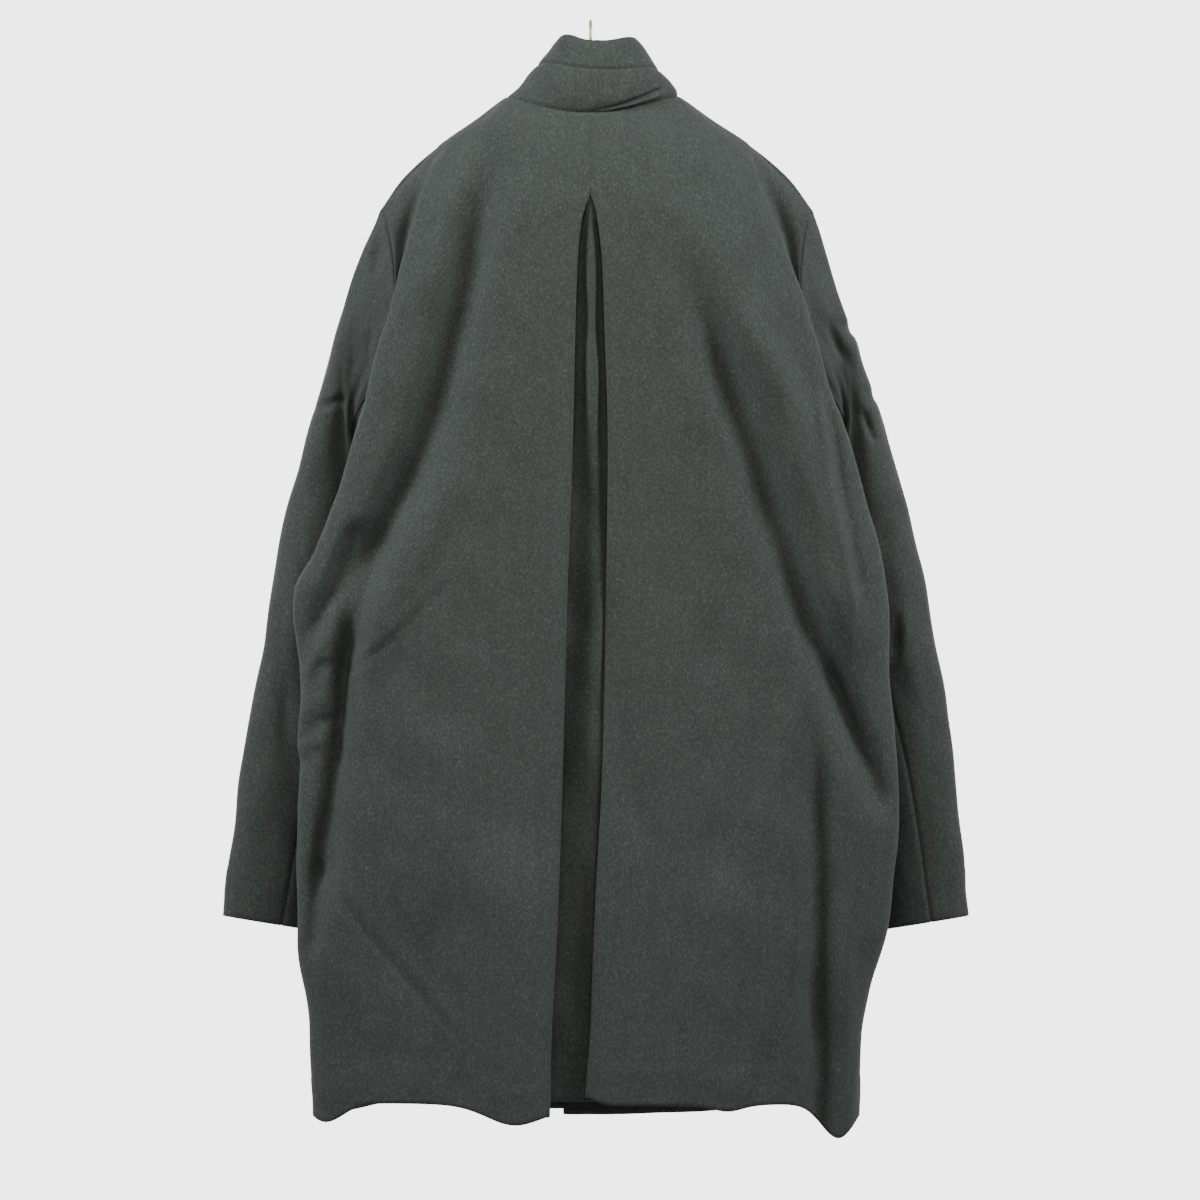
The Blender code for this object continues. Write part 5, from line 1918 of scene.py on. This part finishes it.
def sew(name, tree, points, lines, sizes):
    """Runs a tree over lines of points and keeps the result as a plain mesh that rides on the coat."""
    mesh = bpy.data.meshes.new(name)
    mesh.from_pydata(points, lines, [])
    guide = bpy.data.objects.new(name, mesh)
    scene.collection.objects.link(guide)
    made = guide.modifiers.new(name, "NODES")
    made.node_group = tree
    for socket in tree.interface.items_tree:
        if socket.in_out == "INPUT" and socket.name in sizes:
            made[socket.identifier] = sizes[socket.name]
    sewn_mesh = plain_mesh(guide)
    guide.modifiers.remove(made)
    guide.data = sewn_mesh
    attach(guide, "root")
    print(name, len(sewn_mesh.polygons), "faces")


thread = twisted_thread()
print("material:", thread.name)

# %% [markdown]
# ### Where the thread goes
#
# The cloth of the left front is asked for its face behind each button, so that the thread and the stitches
# lie on the cloth however it waves. Two bundles of strands cross each button between its holes and go down
# to the cloth.

# %% Sewn buttons
STRANDS = 4
STRAND_STEP = 0.42 * MM
STRAND_RISE = 0.25 * MM
STRAND_CURVE = 0.8
STRAND_FOOT = 0.4 * MM

# Half the way of a strand, from the cloth up through a hole, as shares of the hole's distance
STRAND_SHARES = (0.35, 0.9, 1.0, 0.72)
UNDER_BUTTON = 0.3 * MM
IN_HOLE = 0.5 * MM
DISH_SHARE = BUTTON_PROFILE["high_share"][-1]

front_cloth = bpy.data.objects["cloth_front_left"].data
front_points = [point.co for point in front_cloth.vertices]
front_faces = [face.vertices[:] for face in front_cloth.polygons]
front_tree = BVHTree.FromPolygons(front_points, front_faces)


def on_front(x, z):
    """Depth of the left front's outer face at a place seen from the front."""
    return front_tree.ray_cast(Vector((x, -1.0, z)), Vector((0, 1, 0)))[0].y


strand_points = []
strand_lines = []
for middle in button_middles:
    face = middle[1] - DISH_SHARE * BUTTON_THICKNESS
    for row in (-1, 1):
        for number in range(STRANDS):
            shift = (number - (STRANDS - 1) / 2) * STRAND_STEP
            z = middle[2] + row * HOLE_OUT + shift
            rise = face - THREAD_RADIUS - STRAND_RISE * math.cos(shift / STRAND_STEP * STRAND_CURVE)
            foot = on_front(middle[0], z) + STRAND_FOOT
            half = list(zip(STRAND_SHARES, (foot, middle[1] - UNDER_BUTTON, face + IN_HOLE, rise)))
            way = [(-x, y) for x, y in half] + [(0, rise)] + half[::-1]
            first = len(strand_points)
            strand_points += [(middle[0] + x * HOLE_OUT, y, z) for x, y in way]
            strand_lines += [(i, i + 1) for i in range(first, len(strand_points) - 1)]
sew("button_thread", strands, strand_points, strand_lines, {"Radius": THREAD_RADIUS, "Thread": thread})

# %% Bound buttonholes
HOLE_START = -3 * MM
HOLE_END = 24 * MM
HOLE_HALF_WIDTH = 1.3 * MM
SLIT_POINTS = 28
ROUND_POINTS = 9

hole_points = []
hole_lines = []
for middle in button_middles:
    outline = []
    for x in np.linspace(HOLE_START, HOLE_END, SLIT_POINTS):
        outline.append((x, -HOLE_HALF_WIDTH))
    for a in np.linspace(-0.5, 0.5, ROUND_POINTS)[1:-1] * math.pi:
        outline.append((HOLE_END + HOLE_HALF_WIDTH * math.cos(a), HOLE_HALF_WIDTH * math.sin(a)))
    for x in np.linspace(HOLE_END, HOLE_START, SLIT_POINTS):
        outline.append((x, HOLE_HALF_WIDTH))
    first = len(hole_points)
    for x, z in outline:
        place_x = middle[0] + x
        place_z = middle[2] + z
        hole_points.append((place_x, on_front(place_x, place_z), place_z))
    hole_lines += [(i, i + 1) for i in range(first, len(hole_points) - 1)]
stitch_sizes = {
    "Radius": THREAD_RADIUS,
    "Width": STITCH_WIDTH,
    "Height": STITCH_HEIGHT,
    "Step": STITCH_STEP,
    "Thread": thread,
}
sew("buttonhole_stitches", stitches, hole_points, hole_lines, stitch_sizes)
